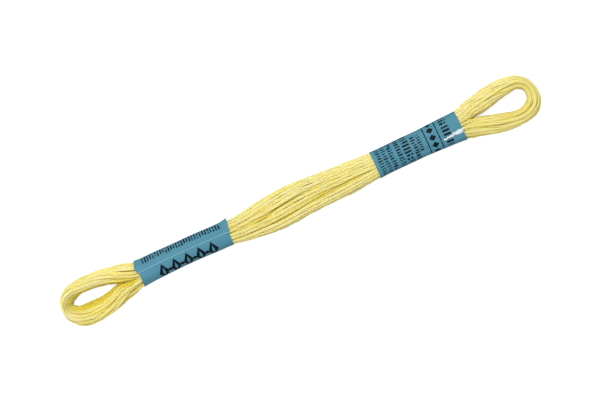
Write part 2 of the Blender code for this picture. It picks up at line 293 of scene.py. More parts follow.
@dataclass
class Circuit:
    """The sections that one turn of the thread meets, in order, with one array entry for each.

    A section is a plane with two coordinates: one across, from origin along the direction
    across, and the height. In the bundle both arms pass through the same planes. The thread
    lies in the oval joined, or in the oval apart, or between them as split says.

    Args:
        plane: Number of the plane that the section lies in.
        origin: Where the plane's first coordinate is 0, seen from above.
        across: Unit vector of that coordinate, seen from above.
        outward: 1 where the arm's outer edge has the larger coordinate, and otherwise -1.
        joined: Middle and half width of the oval that both arms share.
        apart: Middle and half width of the arm's own oval.
        height: Middle and half height of either oval.
        split: 0 where the arms are one bundle, and 1 where they are apart.
        turn: How far the turns have moved about the bundle's middle, in radians.
        lean: How far the top of the arm lies further along the coordinate than its bottom.
        floor: What the thread lies on.
    """

    plane: Array
    origin: Array
    across: Array
    outward: Array
    joined: Array
    apart: Array
    height: Array
    split: Array
    turn: Array
    lean: Array
    floor: Array

    def reordered(self, order: Array) -> Circuit:
        """The same sections in another order."""
        return Circuit(**{name: values[order] for name, values in vars(self).items()})

    def between(self, joined: Array | float, apart: Array | float) -> Array:
        """Mixes a value of the joined oval and one of the oval apart, as split says."""
        return (1 - self.split) * joined + self.split * apart

    def aim(self, out: Array, up: Array) -> Array:
        """Finds the place in each section that stands for a place in an arm of round section.

        In the arm's own oval, the unit disc is spread to fill the oval. In the joined oval an
        arm fills one half: each level chord of its disc is narrowed to half its length and laid
        against the middle line, and the whole is turned about the middle.

        Args:
            out: Place in the arm's unit disc, from -1 at its inner edge to 1 at its outer edge.
            up: The same from bottom to top. The last axis of both runs over the sections.

        Returns:
            The two coordinates in the plane, stacked on a last axis.
        """
        own, own_up = square_off(out, up, ARM_SHAPE)
        own = self.apart[:, 0] + self.outward * self.apart[:, 1] * own
        own = own + self.lean / 2 * own_up

        half = self.outward * (out + np.sqrt(np.maximum(1 - up**2, 0))) / 2
        cos, sin = np.cos(self.turn), np.sin(self.turn)
        both, both_up = square_off(half * cos - up * sin, half * sin + up * cos, BUNDLE_SHAPE)
        both = self.joined[:, 0] + self.joined[:, 1] * both

        level = self.height[:, 0] + self.height[:, 1] * self.between(both_up, own_up)
        return np.stack([self.between(both, own), level], axis=-1)

    def confine(self, points: Array, inset: Array) -> Array:
        """Brings points back into their sections.

        A point whose reach is above 1, measured by the oval less the inset, is drawn to the
        middle by that factor. Reach and middle are mixed between the two ovals as split says.

        Args:
            points: Coordinates in the plane, stacked on the last axis.
            inset: How far inside each section the points stay.

        Returns:
            The points, moved.
        """
        across, level = points[..., 0], points[..., 1]
        up = (level - self.height[:, 0]) / (self.height[:, 1] - inset)
        slant = self.lean / 2 * up * self.split
        own = (across - slant - self.apart[:, 0]) / (self.apart[:, 1] - inset)
        both = (across - self.joined[:, 0]) / (self.joined[:, 1] - inset)
        reach = self.between(reach_in(BUNDLE_SHAPE, both, up), reach_in(ARM_SHAPE, own, up))
        middle = self.between(self.joined[:, 0], self.apart[:, 0])
        shrink = 1 / np.maximum(reach, 1)
        across = middle + slant + (across - slant - middle) * shrink
        level = self.height[:, 0] + (level - self.height[:, 0]) * shrink
        return np.stack([across, np.maximum(level, self.floor + inset)], axis=-1)

    def room(self) -> Array:
        """Works out the area that each section has for each arm.

        A superellipse's share of its box is the factorial of 1 over its exponent, squared, over
        the factorial of 2 over its exponent.

        Returns:
            Square millimetres.
        """
        shape = self.between(BUNDLE_SHAPE, ARM_SHAPE)
        factorial = np.vectorize(lambda value: math.gamma(1 + value))
        fullness = 4 * factorial(1 / shape) ** 2 / factorial(2 / shape)
        return fullness * self.between(self.joined[:, 1] / 2, self.apart[:, 1]) * self.height[:, 1]

    def ovals(self) -> Array:
        """The oval of each section in space.

        Returns:
            One row for each section: the oval's middle along X, Y and Z, its outward direction
            along X and Y, its half width, its half height, its lean and its split.
        """
        middle, half_width = self.between(self.joined.T, self.apart.T)
        level, half_height = self.height.T
        out = self.across * self.outward[:, None]
        slant = self.lean * self.outward * self.split
        flat = self.origin + self.across * middle[:, None]
        return np.column_stack([flat, level, out, half_width, half_height, slant, self.split])

    def in_space(self, points: Array) -> Array:
        """Turns coordinates in the planes into places in space, in millimetres."""
        flat = self.origin + self.across * points[..., :1]
        return np.concatenate([flat, points[..., 1:]], axis=-1)

    def path(self) -> Array:
        """How far along the circuit each section is, measured down the middle of the arm."""
        both = self.joined[:, 0] + self.outward * self.joined[:, 1] / 2
        middle = self.between(both, self.apart[:, 0])
        return lengths_along(self.origin + self.across * middle[:, None])


def join_circuits(parts: list[Circuit]) -> Circuit:
    """One circuit of several, one after another."""
    return Circuit(*(np.concatenate(values) for values in zip(*(vars(part).values() for part in parts))))


@dataclass(frozen=True)
class HankForm:
    """The hank's outer form, and where its sections are taken.

    Args:
        hidden_step: Distance between sections where a band hides the floss.
        open_step: Distance between sections of the bundle elsewhere.
        loop_sections: Sections of each loop.
        start: Where along X, in the left arm, a turn starts. It lies in a band.
    """

    hidden_step: float = 2.4
    open_step: float = 1.5
    loop_sections: int = 30
    start: float = 38.0

    band_ends: ClassVar[tuple] = (-52.0, -24.0, 26.0, 52.0)  # X of the bands' ends, roughly
    near_edge: ClassVar[float] = 0.99  # how far out on the oval a wedge may stand, over its half
    run_out: ClassVar[float] = 4.0  # length over which a parting ends, in millimetres
    run_out_lift: ClassVar[float] = 0.35  # how far its wedge is lifted there
    away: ClassVar[float] = 1000.0  # how far off a wedge stands where there is none

    def bundle_at(self, x: Array) -> Array:
        """The bundle's table at other places along X, one row for each, without X itself."""
        table = np.array(BUNDLE)
        return smooth_through(table[:, 0], table[:, 1:], x)

    def bundle_sections(self) -> Circuit:
        """Takes the bundle's sections at the form's steps.

        Returns:
            The sections, met first by the left arm and then by the right one.
        """
        edges = np.array([BUNDLE[0].x, *self.band_ends, BUNDLE[-1].x])
        steps = [self.open_step, self.hidden_step] * 2 + [self.open_step]
        runs = [
            np.linspace(low, high, round((high - low) / step) + 1)[:-1]
            for low, high, step in zip(edges, edges[1:], steps)
        ]
        x = np.concatenate([*runs, edges[-1:]])
        left, part, right, bottom, top, split, turn, floor, lean = self.bundle_at(x).T
        count = len(x)
        shared = {
            "plane": np.arange(count),
            "origin": np.stack([x, np.zeros(count)], axis=1),
            "across": np.tile([0.0, 1.0], (count, 1)),
            "joined": middle_and_half(left, right),
            "height": middle_and_half(top, bottom),
            "split": np.clip(split, 0, 1),
            "turn": np.radians(turn),
            "floor": np.maximum(floor, 0),
        }
        left_arm, right_arm = (
            Circuit(outward=np.full(count, side), apart=apart, lean=slant, **shared)
            for side, apart, slant in (
                (1.0, middle_and_half(left, part), 0 * lean),
                (-1.0, middle_and_half(part, right), -lean),
            )
        )
        return join_circuits([left_arm.reordered(np.arange(count)[::-1]), right_arm])

    def wedges(self, x: Array) -> Array:
        """Points that part the turns of the bundle from above, one for each parting.

        A point lies above the oval by the parting's lift, and higher near the parting's ends.

        Args:
            x: Where along X they are wanted.

        Returns:
            Their Y and Z: places along X, partings, coordinates. Beyond a parting's ends the
            point is far away.
        """
        found = np.full((len(x), len(PARTINGS), 2), self.away)
        left, _, right, bottom, top = self.bundle_at(x)[:, :5].T
        for number, parting in enumerate(PARTINGS):
            route = np.array(parting.route)
            inside = (x > route[0, 0]) & (x < route[-1, 0])
            y = smooth_through(route[:, 0], route[:, 1:], x)[:, 0]
            share = np.clip(np.abs(2 * y - left - right) / (left - right), 0, self.near_edge)
            rise = (1 - share**BUNDLE_SHAPE) ** (1 / BUNDLE_SHAPE)
            z = (top + bottom) / 2 + (top - bottom) / 2 * rise
            near_end = 1 - np.minimum(x - route[0, 0], route[-1, 0] - x) / self.run_out
            z = z + parting.lift + self.run_out_lift * np.clip(near_end, 0, 1)
            found[inside, number] = np.stack([y, z], axis=-1)[inside]
        return found

    def loop(self, rows: tuple[Bend, ...], root: Bundle, first_plane: int) -> Circuit:
        """The sections of one loop, from the left arm to the right one.

        Args:
            rows: The loop's table.
            root: The bundle's section where the loop leaves it.
            first_plane: Number of the loop's first plane.

        Returns:
            The sections, without the two at the root.
        """
        ends = [
            Bend(root.x, side, root.x, root.part, root.bottom, root.top, lean)
            for side, lean in ((root.left, 0.0), (root.right, root.lean))
        ]
        table = np.array([ends[0], *rows, ends[1]])
        along = lengths_along((table[:, 0:2] + table[:, 2:4]) / 2)
        at = np.linspace(0, along[-1], self.loop_sections + 2)[1:-1]
        found = smooth_through(along, table, at)
        outer, inner = found[:, 0:2], found[:, 2:4]
        bottom, top, lean = found[:, 4:].T
        width = np.linalg.norm(outer - inner, axis=1)
        nothing = np.zeros(len(at))
        oval = np.stack([nothing, width / 2], axis=1)
        return Circuit(
            plane=first_plane + np.arange(len(at)),
            origin=(outer + inner) / 2,
            across=(outer - inner) / width[:, None],
            outward=np.ones(len(at)),
            joined=oval,
            apart=oval,
            height=middle_and_half(top, bottom),
            split=np.ones(len(at)),
            turn=nothing,
            lean=lean,
            floor=nothing,
        )

    def circuit(self) -> Circuit:
        """Joins the bundle and both loops into the round of one turn.

        Returns:
            All the sections that a turn meets, from the start round to the start again.
        """
        bundle = self.bundle_sections()
        count = len(bundle.plane) // 2
        left = self.loop(LEFT_LOOP, BUNDLE[0], count)
        right = self.loop(RIGHT_LOOP, BUNDLE[-1], count + self.loop_sections)
        whole = join_circuits(
            [
                bundle.reordered(np.arange(count)),
                left,
                bundle.reordered(np.arange(count, 2 * count)),
                right.reordered(np.arange(self.loop_sections)[::-1]),
            ]
        )
        shift = int(np.argmin(np.abs(whole.origin[:count, 0] - self.start)))
        return whole.reordered(np.roll(np.arange(len(whole.plane)), -shift))


# ---------------------------------------------------------------- the thread


@dataclass
class Thread:
    """The wound thread: where its middle runs, and how thick it is drawn there.

    Args:
        places: Points along its middle, in millimetres. The last one ends the last turn.
        along: How far along the thread each point is.
        radius: The thread's radius at each point.
        ovals: The oval of the hank's section at each point; see Circuit.ovals.
        rings: How many of the points each turn has.
        loop_ring: Number of the point in each turn where the stretch to the right loop starts.
    """

    places: Array
    along: Array
    radius: Array
    ovals: Array
    rings: int
    loop_ring: int

    def buried(self, places: Array) -> Array:
        """Painted shade for places deep in the hank or low on the wall of an eye.

        Args:
            places: The places, in millimetres: points of the thread, places about each point,
                coordinates.

        Returns:
            For each place, the share of painted shade: 0 in the open and 1 where little light comes.
        """
        middle, outwards = self.ovals[:, None, :3], self.ovals[:, None, 3:5]
        half_width, half_height, lean, split = self.ovals[:, 5:].T[..., None]
        away = places - middle
        up = away[..., 2] / half_height
        out = ((away[..., :2] * outwards).sum(-1) - lean / 2 * up) / half_width
        # Painted shade in the furrows, low on the eyes' walls, and on the side away from the lamp.
        deep = fade(reach_in(ARM_SHAPE, out, up), start=0.95, over=0.24)
        wall = fade(out * split, start=-0.15, over=0.35) * fade(up, start=0.74, over=0.25)
        deep = deep * np.interp(places[..., 0], *FURROW_SHADE_SHARE)
        wall = wall * np.interp(places[..., 0], *WALL_SHADE_SHARE)
        lee = np.interp(places[..., 0], *LEE_SHADE_SHARE) * np.interp(places[..., 1], *LEE_SHADE_SIDE)
        return np.clip(np.maximum(deep, wall) + lee, 0, 1)


@dataclass(frozen=True)
class Winding:
    """Packs the turns of the thread into the hank.

    Args:
        form: The hank's form.
        turns: How many times the thread goes round.
        thickness: The thread's diameter where nothing presses it.
        packing: Share of a section that round turns fill.
        overfill: How much fuller the thread is drawn, as its plies nest into its neighbours'.
        swell: How much fuller still it is drawn in the loops, where no band grips it.
        wander: How far a turn strays from its place in the arm, over the arm's half width.
        wander_reach: Length of thread over which it strays, in millimetres.
        rounds: How many times the turns are pushed apart.
        least_apart: How close two turns' middles may come, over the sum of their radii.
        mends: How many clashes are mended at most.
        mend_reach: Over how much thread a mend bends it, in millimetres.
        seed: Seed of the straying.
    """

    form: HankForm = HankForm()
    turns: int = 26
    thickness: float = 1.05
    packing: float = 0.82
    overfill: float = 1.11
    swell: float = 0.11
    wander: float = 0.15
    wander_reach: float = 60.0
    rounds: int = 260
    least_apart: float = 0.6
    mends: int = 120
    mend_reach: float = 3.5
    seed: int = 103

    tip_swell: ClassVar[tuple] = ((-76, -71), (0.12, 0.0))  # X, and how much fuller it is there
    levels: ClassVar[tuple] = (-0.6, -0.2, 0.2, 0.6)  # heights that part the rows of turns
    push: ClassVar[float] = 0.32  # share of what a pair lacks that each of the two moves by
    part_push: ClassVar[float] = 0.8  # share of what a turn lacks to a wedge that it moves by
    part_slant: ClassVar[float] = 0.7  # least share of such a move that goes sideways
    evening: ClassVar[float] = 0.3  # how much of its neighbours' offset a point takes on
    fine_step: ClassVar[float] = 0.25  # step in which the rings' spacing is worked out
    ring_hidden: ClassVar[float] = 2.4  # distance between rings where a band hides them
    ring_loop: ClassVar[float] = 0.72  # the same in the loops
    ring_open: ClassVar[float] = 1.05  # the same elsewhere
    close: ClassVar[float] = 1.5  # how near two turns are looked at, over the thickness
    small_lack: ClassVar[float] = 0.01  # the lack that isn't worth a mend
    crossing: ClassVar[float] = 0.4  # the share of what is wanted below which two turns cross

    def rows_of_turns(self) -> Array:
        """Places of the turns in the unit disc, so that each turn is next to the one before.

        Sunflower order spreads them evenly: the root of the number gives the distance from the
        middle, and the golden angle times the number the direction. They are then taken row by
        row from the bottom up, to and fro.

        Returns:
            One place for each turn.
        """
        number = np.arange(self.turns) + 0.5
        reach = np.sqrt(number / self.turns)
        angle = number * math.pi * (3 - math.sqrt(5))
        spots = np.stack([reach * np.cos(angle), reach * np.sin(angle)], axis=1)
        level = np.digitize(spots[:, 1], self.levels)
        to_and_fro = spots[:, 0] * np.where(level % 2 == 0, 1, -1)
        return spots[np.lexsort((to_and_fro, level))]

    def each_turn(self, at: Array, length: float) -> Array:
        """Places along one turn, repeated for all turns, with each turn a length further on."""
        return np.concatenate([at + turn * length for turn in range(self.turns)])

    def aims(self, circuit: Circuit) -> Array:
        """Where each turn would run with no other in its way.

        Its place in the arm is a smooth curve along the thread, through the turn's own place
        with a random offset.

        Args:
            circuit: The sections.

        Returns:
            Coordinates in the planes, one row for each turn.
        """
        path = circuit.path()
        length = path[-1] + self.form.hidden_step
        knots_each = max(3, round(length / self.wander_reach))
        own = np.repeat(self.rows_of_turns(), knots_each, axis=0)
        stray = np.random.default_rng(self.seed).normal(0, self.wander, own.shape)
        knots = (np.arange(len(own)) + 0.5) * length / knots_each
        along = np.clip(self.each_turn(path, length), knots[0], knots[-1])
        spot = smooth_through(knots, own + stray, along)
        spot /= np.maximum(np.linalg.norm(spot, axis=1), 1)[:, None]
        spot = spot.reshape(self.turns, len(path), 2)
        return circuit.aim(spot[..., 0], spot[..., 1])

    def pushes(self, points: Array, spacing: Array) -> Array:
        """Moves that part points in the same plane that are closer than the spacing.

        Each of a pair moves away from the other by a share of what the pair lacks.

        Args:
            points: Places in each plane: planes, points, coordinates.
            spacing: The distance wanted in each plane.

        Returns:
            A move for each point.
        """
        apart = points[:, :, None] - points[:, None]
        distance = np.sqrt((apart**2).sum(-1)) + 1e-6
        lack = np.clip(spacing[:, None, None] - distance, 0, None)
        return self.push * ((lack / distance)[..., None] * apart).sum(2)

    def partings(self, points: Array, wedges: Array, spacing: Array) -> Array:
        """Moves that part the turns below the wedges.

        A point that is closer to a wedge than the spacing moves away from it, by a share of what
        is lacking. To either side it moves to where most of the same turn already lies, so that
        no turn crosses a parting.

        Args:
            points: Places in each plane: planes, points, coordinates.
            wedges: The wedges in each plane: planes, partings, coordinates.
            spacing: The distance wanted in each plane.

        Returns:
            A move for each point.
        """
        gap = points[:, :, None] - wedges[:, None]
        distance = np.sqrt((gap**2).sum(-1))
        lack = np.clip(spacing[:, None, None] - distance, 0, None)
        side = np.sign((lack * gap[..., 0]).sum(0))
        gap[..., 0] = side * np.maximum(np.abs(gap[..., 0]), self.part_slant * distance)
        return self.part_push * ((lack / distance)[..., None] * gap).sum(2)

    def packed(self) -> tuple[Circuit, Array, Array]:
        """Packs the turns.

        In turn, close neighbours in each plane are pushed apart, points are brought back into
        their sections, and the offset of each point from its aim is averaged with those before
        and after it along the thread.

        Returns:
            The sections, the places of the turns in them and the thread's radius there.
        """
        circuit = self.form.circuit()
        aims = self.aims(circuit)
        room = circuit.room()
        spacing = np.sqrt(self.packing * room * 4 / (math.pi * self.turns))
        fill = self.overfill + self.swell * circuit.split
        fill += np.interp(circuit.origin[:, 0], *self.tip_swell)
        inset = fill * np.minimum(spacing, self.thickness) / 2
        points = aims.copy()
        planes = [np.flatnonzero(circuit.plane == plane) for plane in np.unique(circuit.plane)]
        shared = np.array([pair for pair in planes if len(pair) == 2])
        single = np.array([pair[0] for pair in planes if len(pair) == 1])
        shared_spacing = spacing[shared[:, 0]]
        outward = np.stack([circuit.outward, np.ones_like(circuit.outward)], axis=-1)
        wedges = self.form.wedges(circuit.origin[shared[:, 0], 0])
        for _ in range(self.rounds):
            both = points[:, shared].transpose(1, 2, 0, 3)
            flat = both.reshape(len(shared), -1, 2)
            moved = self.pushes(flat, shared_spacing)
            moved += self.partings(flat, wedges, shared_spacing)
            points[:, shared] += moved.reshape(both.shape).transpose(2, 0, 1, 3)
            alone = points[:, single].transpose(1, 0, 2)
            points[:, single] += self.pushes(alone, spacing[single]).transpose(1, 0, 2)
            points = circuit.confine(points, inset)
            offset = ((points - aims) * outward).reshape(-1, 2)
            for _ in range(2):
                offset[1:-1] += self.evening * (offset[:-2] + offset[2:] - 2 * offset[1:-1])
            points = aims + offset.reshape(points.shape) * outward
        return circuit, circuit.confine(points, inset), inset

    def rings(self, circuit: Circuit) -> Array:
        """Spaces the rings of points along a turn: closer where the thread shows and bends.

        Args:
            circuit: The sections.

        Returns:
            How far along the turn each ring is.
        """
        path = circuit.path()
        fine = np.arange(0, path[-1], self.fine_step)
        x = np.interp(fine, path, circuit.origin[:, 0])
        step = np.where(np.abs(x) > LOOPS_FROM, self.ring_loop, self.ring_open)
        step = np.where(in_a_band(x), self.ring_hidden, step)
        count = np.concatenate([[0], np.cumsum(self.fine_step / step)])[:-1]
        return np.interp(np.arange(0, count[-1]), count, fine)

    def close_pairs(self, places: Array, along: Array) -> tuple[Array, Array]:
        """Pairs of points that lie close, on stretches of the thread that are far apart along it.

        Args:
            places: Points along the thread.
            along: How far along the thread each point is.

        Returns:
            The numbers of the first and of the second point of each pair. Points in a band are
            left out.
        """
        seen = np.flatnonzero(~in_a_band(places[:, 0]))
        pairs = []
        for block in np.array_split(seen, self.turns):
            gap = np.linalg.norm(places[block, None] - places[seen], axis=-1)
            one, other = np.nonzero(gap < self.close * self.thickness)
            pairs.append(np.stack([block[one], seen[other]], axis=1))
        one, other = np.concatenate(pairs).T
        apart = along[other] - along[one] > self.wander_reach / 2
        return one[apart], other[apart]

    def eased(self, places: Array, along: Array, radius: Array) -> Array:
        """Bends turns clear of one another where the packing left one running into the other.

        The deepest clash is mended first: its two turns are bent apart over a short stretch.
        Where they run through each other, one goes over the other, square to both. A clash
        that a band hides is left, and no turn is pressed into the table.

        Args:
            places: Points along the thread.
            along: How far along the thread each point is.
            radius: The thread's radius at each point.

        Returns:
            The points, moved.
        """
        places = places.copy()
        lowest = np.minimum(places[:, 2], radius)
        one, other = self.close_pairs(places, along)
        wanted = self.least_apart * (radius[one] + radius[other])
        for _ in range(self.mends):
            gap = places[one] - places[other]
            distance = np.linalg.norm(gap, axis=1)
            worst = int(np.argmax(wanted - distance))
            lack = wanted[worst] - distance[worst]
            if lack < self.small_lack:
                break
            ends = one[worst], other[worst]
            way = gap[worst] / (distance[worst] + 1e-6)
            if distance[worst] < self.crossing * wanted[worst]:
                square = np.cross(*(places[end + 1] - places[end - 1] for end in ends))
                square /= np.linalg.norm(square) + 1e-9
                way = square * (1.0 if square @ gap[worst] >= 0 else -1.0)
                lack = wanted[worst] - abs(square @ gap[worst])
            for end, side in zip(ends, (0.5, -0.5)):
                near = np.exp(-(((along - along[end]) / self.mend_reach) ** 2))
                places += side * lack * near[:, None] * way
            places[:, 2] = np.maximum(places[:, 2], lowest)
        return places

    def thread(self) -> Thread:
        """Packs the thread and draws it as a smooth curve through its sections.

        Returns:
            The thread.
        """
        circuit, points, radius = self.packed()
        path = circuit.path()
        length = path[-1] + self.form.hidden_step
        rings = self.rings(circuit)
        at = np.append(self.each_turn(rings, length), self.turns * length)
        points = circuit.in_space(points).reshape(-1, 3)
        places = smooth_through(self.each_turn(path, length), points, at)
        along = lengths_along(places)
        LOG.info("thread: %.2f m long in %d turns", along[-1] * MM, self.turns)
        rows = smooth_through(path, np.column_stack([radius, circuit.ovals()]), rings)
        rows = np.concatenate([np.tile(rows, (self.turns, 1)), rows[:1]])
        places = self.eased(places, along, rows[:, 0])
        right_arm = np.interp(rings, path, -circuit.outward) > 0
        x = np.interp(rings, path, circuit.origin[:, 0])
        to_loop = right_arm & (x > self.form.start) & (x < LOOPS_FROM)
        return Thread(
            places, along, rows[:, 0], rows[:, 1:], len(rings), int(np.argmax(to_loop))
        )


# ---------------------------------------------------------------- meshes


def placed(name: str, data: bpy.types.ID) -> Object:
    """Makes an object of that name and data and puts it in the scene."""
    made = bpy.data.objects.new(name, data)
    bpy.context.scene.collection.objects.link(made)
    return made


def new_piece(name: str, places: Array, faces: list[Array], material: Material) -> Object:
    """Makes a smooth-shaded object.

    Args:
        name: The object's name.
        places: Points in millimetres.
        faces: Point numbers of the faces' corners, in blocks of faces with as many corners.
        material: What it is made of.

    Returns:
        The object, riding on the hank's body.
    """
    corners = np.concatenate([block.ravel() for block in faces])
    sizes = np.repeat([block.shape[1] for block in faces], [len(block) for block in faces])
    mesh = bpy.data.meshes.new(name)
    mesh.vertices.add(len(places))
    mesh.vertices.foreach_set("co", (places * MM).astype(np.float32).ravel())
    mesh.loops.add(len(corners))
    mesh.loops.foreach_set("vertex_index", corners.astype(np.int32))
    mesh.polygons.add(len(sizes))
    starts = np.concatenate([[0], np.cumsum(sizes)[:-1]])
    mesh.polygons.foreach_set("loop_start", starts.astype(np.int32))
    mesh.polygons.foreach_set("use_smooth", np.ones(len(sizes), bool))
    mesh.update(calc_edges=True)
    mesh.validate()
    mesh.materials.append(material)
    made = placed(name, mesh)
    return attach(made, BODY)


def set_values(mesh: Mesh, name: str, values: Array) -> None:
    """Gives each of a mesh's points a number under that name."""
    made = mesh.attributes.new(name, "FLOAT", "POINT")
    made.data.foreach_set("value", values.astype(np.float32).ravel())


def set_map(mesh: Mesh, name: str, *blocks: Array) -> None:
    """Gives each of a mesh's face corners, block by block, a place in a UV map of that name."""
    corners = np.concatenate([block.reshape(-1, 2) for block in blocks])
    layer = mesh.uv_layers.new(name=name, do_init=False)
    layer.uv.foreach_set("vector", corners.astype(np.float32).ravel())


@dataclass
class Tubes:
    """The thread's plies as tubes: arrays over plies, rings along the thread and ring places.

    Args:
        places: Points in millimetres.
        tone: How pale the dye is: plies and rings.
        buried: How much painted shade each place gets, by how deep in the hank it is.
        along: How far along the thread each ring is.
    """

    places: Array
    tone: Array
    buried: Array
    along: Array


@dataclass(frozen=True)
class PlyLay:
    """How the plies lie about the thread's middle.

    A ply's middle circles the thread's: its angle grows by a full circle for each lay, and its
    distance is what six touching plies need. Its own section is a ring about that middle.

    Args:
        plies: Plies in the thread.
        lay: Length in which a ply goes once round the thread.
        sides: Points round a ply.
        unrest: How far plies stray from their even places, over their distance.
        swing: How much more they stray round the thread than in and out.
        squash: How far the thread is flattened here and there.
        roll: How far its lay runs ahead and behind, in radians.
        ply_share: A ply's radius over the thread's.
        slack_reach: Length of thread over which plies stray, in millimetres.
        paleness: How far the dye's tone strays from its middle, 0.5.
        seed: Seed of the straying.
    """

    plies: int = 6
    lay: float = 19.0
    sides: int = 6
    unrest: float = 0.10
    swing: float = 2.2
    squash: float = 0.09
    roll: float = 0.8
    ply_share: float = 0.40
    slack_reach: float = 13.0
    paleness: float = 0.15
    seed: int = 100

    def tubes(self, thread: Thread) -> Tubes:
        """Draws the plies.

        Args:
            thread: The wound thread.

        Returns:
            The plies, all along the thread.
        """
        along = thread.along
        forward = unit_rows(np.gradient(thread.places, along, axis=0))
        side = unit_rows(np.cross([0.0, 0.0, 1.0], forward))
        above = np.cross(forward, side)
        slack = drift(self.seed, 3 * self.plies + 2, along, self.slack_reach).T
        swing, closeness, paleness = slack[:-2].reshape(3, self.plies, -1)
        even = FULL_TURN * np.arange(self.plies)[:, None] / self.plies
        angle = even + FULL_TURN * along / self.lay + self.roll * slack[-1]
        angle = angle + self.swing * self.unrest * swing
        reach = thread.radius * (1 - self.ply_share) * (1 + self.unrest * closeness)
        squash = 1 + self.squash * slack[-2]
        across = (reach * np.cos(angle) * squash)[..., None, None] * side[:, None]
        height = (reach * np.sin(angle) / squash)[..., None, None] * above[:, None]
        spoke = (angle[..., None] + FULL_TURN * np.arange(self.sides) / self.sides)[..., None]
        ring = np.cos(spoke) * side[:, None] + np.sin(spoke) * above[:, None]
        size = (thread.radius * self.ply_share)[:, None, None]
        places = thread.places[:, None] + across + height + size * ring
        # How much painted shade each place of each ply gets.
        buried = np.stack([thread.buried(ply) for ply in places])
        return Tubes(places, 0.5 + self.paleness * paleness, buried, along)


def unit_rows(vectors: Array) -> Array:
    """Each row made one long."""
    return vectors / np.linalg.norm(vectors, axis=-1, keepdims=True)


def grid_faces(rows: int, columns: int) -> Array:
    """Faces of a tube of rings: a quad between each ring and the next, closed round.

    Args:
        rows: Rings.
        columns: Points round each ring.

    Returns:
        Four point numbers for each face.
    """
    ring, column = np.meshgrid(np.arange(rows - 1), np.arange(columns), indexing="ij")
    here, after = ring * columns, (column + 1) % columns
    quads = [here + column, here + after, here + columns + after, here + columns + column]
    return np.stack(quads, axis=-1).reshape(-1, 4)


@dataclass(frozen=True)
class FlossPiece:
    """Some turns of the floss, or a stretch of each of them.

    Args:
        name: The piece's name.
        first_turn: Number of its first turn.
        turns: How many turns it has.
        first_ring: Number of the ring in each turn that it starts with.
        last_ring: Number of the ring that it ends with.
    """

    name: str
    first_turn: int
    turns: int
    first_ring: int
    last_ring: int

    girth: ClassVar[float] = 1.3  # a ply's, in millimetres, for its share of the baking map
    margin: ClassVar[float] = 0.06  # what a row of the baking map leaves free above and below
    end_size: ClassVar[float] = 0.4  # half size of an end face in its place on that map

    def build(self, thread: Thread, plies: Tubes, material: Material) -> Object:
        """Builds the piece: a closed tube for each ply of each turn.

        Args:
            thread: The wound thread.
            plies: Its plies.
            material: The floss's finish.

        Returns:
            The object.
        """
        turn = np.arange(self.first_turn, self.first_turn + self.turns)
        ring = np.arange(self.first_ring, self.last_ring + 1)
        picked = turn[:, None] * thread.rings + ring
        places = plies.places[:, picked].swapaxes(0, 1).reshape(-1, *plies.places.shape[2:])
        sides, count = plies.places.shape[2], len(ring)
        first = (np.arange(len(places) // count) * count * sides)[:, None, None]
        quads = (grid_faces(count, sides) + first).reshape(-1, 4)
        round_end = np.arange(sides)
        ends = np.stack([round_end[::-1], (count - 1) * sides + round_end])
        caps = (ends + first).reshape(-1, sides)
        made = new_piece(self.name, places.reshape(-1, 3), [quads, caps], material)
        tone = plies.tone[:, picked].swapaxes(0, 1)
        set_values(made.data, "tone", np.repeat(tone, sides))
        # The painted shade, as a number on each point.
        set_values(made.data, "buried", plies.buried[:, picked].swapaxes(0, 1))
        along = np.repeat(plies.along[picked], len(plies.places), axis=0)
        self.map_tubes(made.data, quads, caps, along)
        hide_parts("floss_hank")
        return made

    def map_tubes(self, mesh: Mesh, quads: Array, caps: Array, along: Array) -> None:
        """Maps the plies twice.

        The map called ply has the length in millimetres, and 0 to 1 round the ply. The map for
        baking lays the tubes out as rows in the unit square. A tube is cut into as many rows as
        make the rows about as long together as they are high, and its ends lie in a row of
        their own.

        Args:
            mesh: The piece's mesh.
            quads: Its quads.
            caps: Its end faces.
            along: How far along the thread each ring of each tube is.
        """
        tubes, count = along.shape
        sides = caps.shape[1]
        tube, place = np.divmod(quads, count * sides)
        ring, column = np.divmod(place, sides)
        column = np.where((column == 0) & (column[:, [0]] > 0), sides, column)
        sheet = np.stack([along[tube, ring], column / sides], axis=-1)
        end = np.stack([along.ravel()[caps // sides], caps * 0.0], axis=-1)
        set_map(mesh, "ply", sheet, end)

        cuts = max(1, round(math.sqrt(np.ptp(along[0]) / (tubes * self.girth))))
        part = ring[:, :1] * cuts // (count - 1)
        rows = tubes * cuts + 1
        across = ring * cuts / (count - 1) - part
        full = 1 - 2 * self.margin
        level = (tube * cuts + part + self.margin + full * column / sides) / rows
        angle = FULL_TURN * np.arange(sides) / sides
        number = np.arange(len(caps))[:, None]
        end_across = (number + 0.5 + self.end_size * np.cos(angle)) / len(caps)
        end_level = 1 - (0.5 + self.end_size * np.sin(angle) + 0 * number) / rows
        row_places = np.stack([across, level], axis=-1)
        set_map(mesh, BAKE_MAP, row_places, np.stack([end_across, end_level], axis=-1))


